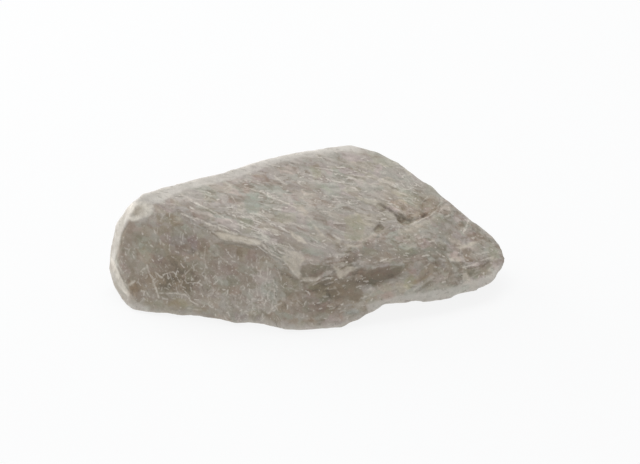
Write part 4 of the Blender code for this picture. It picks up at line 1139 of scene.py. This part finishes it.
def stone():
    me = stone_mesh()
    V, N = coords(me), normals(me)
    P = seen_at(V)
    front = smooth01(faces_front(V, N), 0.02, 0.20)
    V = V + N * relief(me, V, N, P, front)[:, None] + nudged(V, P) * smooth01(faces_front(V, N), -0.9, -0.2)[:, None]
    set_coords(me, V)

    ob = bpy.data.objects.new("limestone_surface", me)
    bpy.context.scene.collection.objects.link(ob)
    # keep the seen side fine and let the hidden side carry fewer faces
    spare = ob.vertex_groups.new(name="spare")
    w = np.clip(1.0 - front, 0.0, 1.0)
    for level in np.linspace(0.0, 1.0, 6):
        idx = np.nonzero(np.abs(w - level) <= 0.1)[0]
        spare.add(idx.tolist(), float(0.02 + 0.98 * level), "REPLACE")
    tris = sum(len(p.vertices) - 2 for p in me.polygons)
    m = ob.modifiers.new("thin", "DECIMATE")
    m.ratio = min(1.0, TRIANGLES / tris)
    m.vertex_group = "spare"
    m.vertex_group_factor = 4.0
    fine = evaluated(ob)
    ob.modifiers.clear()
    ob.vertex_groups.clear()
    ob.data = fine
    bpy.data.meshes.remove(me)
    me = fine
    V = coords(me)
    V[:, 2] = np.maximum(V[:, 2], 0.0)
    set_coords(me, V)
    N = normals(me)
    print("stone: %d vertices, %d faces" % (len(me.vertices), len(me.polygons)))

    # fields
    P = seen_at(V)
    facing = faces_front(V, N)
    front = smooth01(facing, 0.0, 0.15)
    stands = edge_field(me, V, N, 26)
    rock_and_painted_light, streaky = rock_and_painted_light_colour(me, V, N, P, facing, front, stands)
    for name, values in (("streaky", streaky), ("front", front)):
        at = me.attributes.new(name, "FLOAT", "POINT")
        at.data.foreach_set("value", values.astype(np.float32))
    for name, values in (("rock_and_painted_light", rock_and_painted_light), ("place", V), ("outward", N)):
        at = me.attributes.new(name, "FLOAT_VECTOR", "POINT")
        at.data.foreach_set("vector", values.astype(np.float32).ravel())
    swing = np.stack([value_noise(V / 2.4, 65), value_noise(V / 2.4, 66)], -1) * 0.7
    stone_groups["pale"] = stroke_fields(me, "pale", P + swing, front, PALE_LINES)
    stone_groups["dark"] = stroke_fields(me, "dark", P + swing, front, DARK_LINES)
    me.polygons.foreach_set("use_smooth", np.ones(len(me.polygons), bool))
    return ob


# =====================================================================================
# 4. Material
# =====================================================================================
class Net:
    def __init__(self, name):
        self.mat = bpy.data.materials.new(name)
        self.mat.use_nodes = True
        self.tree = self.mat.node_tree
        self.tree.nodes.clear()

    def node(self, kind, **props):
        n = self.tree.nodes.new(kind)
        for k, v in props.items():
            setattr(n, k, v)
        return n

    def put(self, socket, value):
        if isinstance(value, bpy.types.NodeSocket):
            self.tree.links.new(value, socket)
        elif value is not None:
            socket.default_value = value

    def m(self, op, a, b=None, c=None, clamp=False):
        n = self.node("ShaderNodeMath", operation=op, use_clamp=clamp)
        for s, x in zip(n.inputs, (a, b, c)):
            self.put(s, x)
        return n.outputs[0]

    def v(self, op, a, b=None, c=None, scale=None):
        n = self.node("ShaderNodeVectorMath", operation=op)
        for s, x in zip(n.inputs[:3], (a, b, c)):
            self.put(s, x)
        if scale is not None:
            self.put(n.inputs["Scale"], scale)
        return n.outputs["Value"] if op in ("LENGTH", "DOT_PRODUCT", "DISTANCE") else n.outputs["Vector"]

    def step(self, x, lo, hi, to=(0.0, 1.0)):
        n = self.node("ShaderNodeMapRange", interpolation_type="SMOOTHSTEP", clamp=True)
        for name, val in (("Value", x), ("From Min", lo), ("From Max", hi), ("To Min", to[0]),
                          ("To Max", to[1])):
            self.put(n.inputs[name], val)
        return n.outputs["Result"]

    def noise(self, vec, scale, detail=2.0, rough=0.5, distortion=0.0, colour=False):
        n = self.node("ShaderNodeTexNoise", noise_dimensions="3D")
        self.put(n.inputs["Vector"], vec)
        n.inputs["Scale"].default_value = scale
        n.inputs["Detail"].default_value = detail
        n.inputs["Roughness"].default_value = rough
        n.inputs["Distortion"].default_value = distortion
        return n.outputs["Color"] if colour else n.outputs["Fac"]

    def mix(self, fac, a, b, blend="MIX"):
        n = self.node("ShaderNodeMix", data_type="RGBA", blend_type=blend, clamp_factor=True)
        self.put(n.inputs[0], fac)
        self.put(n.inputs[6], a)
        self.put(n.inputs[7], b)
        return n.outputs[2]

    def attribute(self, name, vector=False):
        n = self.node("ShaderNodeAttribute", attribute_type="GEOMETRY", attribute_name=name)
        return n.outputs["Vector"] if vector else n.outputs["Fac"]

    def dashes(self, pos, normal, cell, half, width, seed, density, strength, fixed, fix):
        """short scratches lying in the surface, one in some of the cells"""
        scaled = self.v("MULTIPLY_ADD", pos, (1.0 / cell,) * 3, (seed * 3.1, seed * 1.7, seed * 2.3))
        vo = self.node("ShaderNodeTexVoronoi", voronoi_dimensions="3D", feature="F1")
        self.put(vo.inputs["Vector"], scaled)
        vo.inputs["Scale"].default_value = 1.0
        vo.inputs["Randomness"].default_value = 1.0
        r = self.v("SCALE", self.v("SUBTRACT", scaled, vo.outputs["Position"]), scale=cell)
        rnd = self.v("ADD", self.v("SUBTRACT", vo.outputs["Color"], (0.5, 0.5, 0.5)),
                     self.v("SCALE", tuple(fixed), scale=fix))
        off = self.v("DOT_PRODUCT", rnd, normal)
        axis = self.v("NORMALIZE", self.v("SUBTRACT", rnd, self.v("SCALE", normal, scale=off)))
        rn = self.v("DOT_PRODUCT", r, normal)
        flat = self.v("SUBTRACT", r, self.v("SCALE", normal, scale=rn))
        t = self.v("DOT_PRODUCT", flat, axis)
        tc = self.m("MAXIMUM", self.m("MINIMUM", t, half), -half)
        d = self.v("LENGTH", self.v("SUBTRACT", flat, self.v("SCALE", axis, scale=tc)))
        sep = self.node("ShaderNodeSeparateColor")
        self.put(sep.inputs[0], vo.outputs["Color"])
        keep = self.step(sep.outputs[1], 1.0 - density, 1.0 - density + 0.25)
        return self.m("MULTIPLY", self.step(d, width, width * 0.35, (0.0, strength)), keep)

    def specks(self, pos, cell, radius, seed, density, strength):
        """small round marks, one in some of the cells"""
        vo = self.node("ShaderNodeTexVoronoi", voronoi_dimensions="3D", feature="F1")
        self.put(vo.inputs["Vector"], self.v("ADD", pos, (seed * 13.1, seed * 7.7, seed * 9.3)))
        vo.inputs["Scale"].default_value = 1.0 / cell
        vo.inputs["Randomness"].default_value = 1.0
        sep = self.node("ShaderNodeSeparateColor")
        self.put(sep.inputs[0], vo.outputs["Color"])
        keep = self.step(sep.outputs[1], 1.0 - density, 1.0 - density + 0.25)
        return self.m("MULTIPLY", self.step(vo.outputs["Distance"], radius / cell, 0.4 * radius / cell, (0.0, strength)), keep)

    def lines(self, name, shake):
        """listed strokes: the strongest one at each point"""
        out = None
        for k in range(stone_groups[name]):
            sep = self.node("ShaderNodeSeparateXYZ")
            self.put(sep.inputs[0], self.attribute("%s%d" % (name, k), vector=True))
            off = self.m("ABSOLUTE", self.m("ADD", sep.outputs[0], shake))
            s = self.m("MULTIPLY", self.step(off, 1.05, 0.25), sep.outputs[1])
            out = s if out is None else self.m("MAXIMUM", out, s)
        return out


PALE = (0.66, 0.615, 0.545, 1.0)
DARK = (0.125, 0.105, 0.080, 1.0)


def stone_material():
    n = Net("limestone_striated")
    pos = n.attribute("place", vector=True)          # millimetres
    normal = n.attribute("outward", vector=True)
    streaky = n.attribute("streaky")

    # ---- coordinates drawn out along the striations, gently bent
    s = tuple(float(x) for x in STREAK)
    bend = n.noise(pos, 0.13, 1.0, colour=True)
    bent = n.v("MULTIPLY_ADD", bend, (3.2, 3.2, 3.2), pos)
    run = n.v("DOT_PRODUCT", bent, s)
    drawn8 = n.v("SUBTRACT", bent, n.v("SCALE", s, scale=n.m("MULTIPLY", run, 0.88)))

    # ---- striations: tapered streaks, each a stretched cell
    def streak_set(cell, radius, seed, density, strength):
        moved = n.v("MULTIPLY_ADD", drawn8, (1.0 / cell,) * 3, (seed * 5.3, seed * 2.9, seed * 7.1))
        vo = n.node("ShaderNodeTexVoronoi", voronoi_dimensions="3D", feature="F1")
        n.put(vo.inputs["Vector"], moved)
        vo.inputs["Scale"].default_value = 1.0
        vo.inputs["Randomness"].default_value = 1.0
        sep = n.node("ShaderNodeSeparateColor")
        n.put(sep.inputs[0], vo.outputs["Color"])
        size = n.m("MULTIPLY_ADD", sep.outputs[0], 0.7 * radius / cell, 0.5 * radius / cell)
        body = n.step(n.m("DIVIDE", vo.outputs["Distance"], size), 1.0, 0.35, (0.0, strength))
        keep = n.step(sep.outputs[1], 1.0 - density, 1.0 - density + 0.35)
        return n.m("MULTIPLY", body, keep)
    streaks = streak_set(0.80, 0.24, 2.0, 0.40, 0.30)
    clusters = n.step(n.noise(pos, 0.28, 2.0, 0.6), 0.40, 0.60, (0.15, 1.0))
    grain = n.noise(pos, 3.6, 2.0, 0.6)
    breaks = n.step(grain, 0.36, 0.56, (0.35, 1.0))
    far = n.m("MULTIPLY_ADD", n.attribute("front"), -1.1, 2.1)
    streaks = n.m("MULTIPLY", n.m("MULTIPLY", streaks, n.m("MULTIPLY", streaky, far)), n.m("MULTIPLY", breaks, clusters))

    # ---- scattered short scratches and specks, in every direction off the top
    fixdir = n.m("MULTIPLY", streaky, 1.3)
    d2 = n.dashes(pos, normal, 1.5, 0.22, 0.15, 2.0, 0.35, 0.50, s, fixdir)
    d4 = n.specks(pos, 0.95, 0.17, 4.0, 0.30, 0.55)
    scratch = n.m("MAXIMUM", n.m("MULTIPLY", n.m("MULTIPLY", d2, far), breaks), d4)
    scratch = n.m("MULTIPLY", scratch, n.step(n.noise(pos, 0.30, 2.0, 0.6), 0.42, 0.60, (0.12, 1.0)))
    scratch = n.m("MULTIPLY", scratch, n.m("MULTIPLY_ADD", streaky, -0.45, 1.0))
    pits = n.m("MULTIPLY", n.m("MAXIMUM", n.specks(pos, 1.5, 0.28, 6.0, 0.25, 0.40), n.specks(pos, 1.0, 0.19, 7.0, 0.25, 0.40)),
               n.step(n.noise(pos, 0.33, 2.0, 0.6), 0.56, 0.42, (0.20, 1.0)))

    # ---- listed lines
    shake = n.m("MULTIPLY_ADD", n.noise(pos, 1.5, 3.0, 0.7), 2.2, -1.1)
    pale_l = n.m("MULTIPLY", n.lines("pale", shake), n.step(n.noise(pos, 1.0, 3.0, 0.65), 0.34, 0.62, (0.30, 1.15)))
    # the dark lines include painted shade along the arms of the V break
    dark_l = n.lines("dark", shake)

    # ---- colour
    fine = n.noise(pos, 1.35, 3.0, 0.65)
    t = n.m("ADD", n.m("MULTIPLY_ADD", fine, 0.26, 0.87), n.m("MULTIPLY_ADD", grain, 0.42, -0.21))
    # the vertex colour carries painted light and shade as well as the rock's own colour
    colour = n.v("SCALE", n.attribute("rock_and_painted_light", vector=True), scale=t)
    colour = n.mix(n.m("MAXIMUM", n.m("MAXIMUM", streaks, scratch), pale_l), colour, PALE)
    colour = n.mix(n.m("MAXIMUM", n.m("MULTIPLY", dark_l, 0.8), pits), colour, DARK)

    # ---- relief
    h = n.m("MULTIPLY_ADD", grain, 0.22, n.m("MULTIPLY", fine, 0.34))
    bump = n.node("ShaderNodeBump")
    bump.inputs["Strength"].default_value = 0.60
    bump.inputs["Distance"].default_value = 0.00035
    n.put(bump.inputs["Height"], h)

    bsdf = n.node("ShaderNodeBsdfPrincipled")
    n.put(bsdf.inputs["Base Color"], colour)
    n.put(bsdf.inputs["Roughness"], n.m("MULTIPLY_ADD", fine, 0.24, 0.56))
    bsdf.inputs["Specular IOR Level"].default_value = 0.40
    bsdf.inputs["Metallic"].default_value = 0.0
    n.put(bsdf.inputs["Normal"], bump.outputs["Normal"])
    out = n.node("ShaderNodeOutputMaterial")
    n.put(out.inputs["Surface"], bsdf.outputs[0])
    print("material nodes:", len(n.tree.nodes))
    return n.mat


# =====================================================================================
# 5. Floor, light and camera
# =====================================================================================
def floor():
    bm = bmesh.new()
    bmesh.ops.create_grid(bm, x_segments=1, y_segments=1, size=6.0)
    me = bpy.data.meshes.new("floor")
    bm.to_mesh(me)
    bm.free()
    ob = bpy.data.objects.new("floor", me)
    bpy.context.scene.collection.objects.link(ob)
    ob.location.z = -0.0001
    n = Net("floor_white")
    glow = n.node("ShaderNodeEmission")
    glow.inputs["Color"].default_value = (0.995, 0.998, 1.0, 1.0)
    glow.inputs["Strength"].default_value = 0.86
    matt = n.node("ShaderNodeBsdfDiffuse")
    matt.inputs["Color"].default_value = (0.10, 0.10, 0.10, 1.0)
    add = n.node("ShaderNodeAddShader")
    n.put(add.inputs[0], glow.outputs[0])
    n.put(add.inputs[1], matt.outputs[0])
    out = n.node("ShaderNodeOutputMaterial")
    n.put(out.inputs["Surface"], add.outputs[0])
    me.materials.append(n.mat)


def area(name, place, aim, size, power, colour=(1.0, 1.0, 1.0)):
    data = bpy.data.lights.new(name, "AREA")
    data.shape = "RECTANGLE"
    data.size, data.size_y = size
    data.energy = power
    data.color = colour
    ob = bpy.data.objects.new(name, data)
    ob.location = place
    ob.rotation_euler = (Vector(aim) - Vector(place)).to_track_quat("-Z", "Y").to_euler()
    bpy.context.scene.collection.objects.link(ob)


def lights():
    world = bpy.data.worlds.new("white_room")
    bpy.context.scene.world = world
    world.use_nodes = True
    bg = world.node_tree.nodes["Background"]
    bg.inputs["Color"].default_value = (1.0, 1.0, 1.0, 1.0)
    bg.inputs["Strength"].default_value = 0.58
    area("softbox_top", (-0.10, 0.25, 0.90), (0.0, 0.0, 0.0), (0.9, 0.7), 5.0)
    area("softbox_left", (-0.85, 0.55, 0.35), (0.0, 0.0, 0.02), (0.7, 0.6), 7.0)


def camera():
    data = bpy.data.cameras.new("camera")
    data.lens = LENS
    data.sensor_width = SENSOR
    data.clip_start = 0.01
    ob = bpy.data.objects.new("camera", data)
    ob.location = Vector(EYE) * MM
    ob.rotation_euler = Vector(FORWARD).to_track_quat("-Z", "Y").to_euler()
    bpy.context.scene.collection.objects.link(ob)
    bpy.context.scene.camera = ob


surface = stone()
surface.data.materials.clear()
surface.data.materials.append(stone_material())
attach(surface, "root")
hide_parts("limestone")
floor()
lights()
camera()
bpy.context.scene.view_settings.view_transform = "Standard"
bpy.context.scene.view_settings.look = "None"
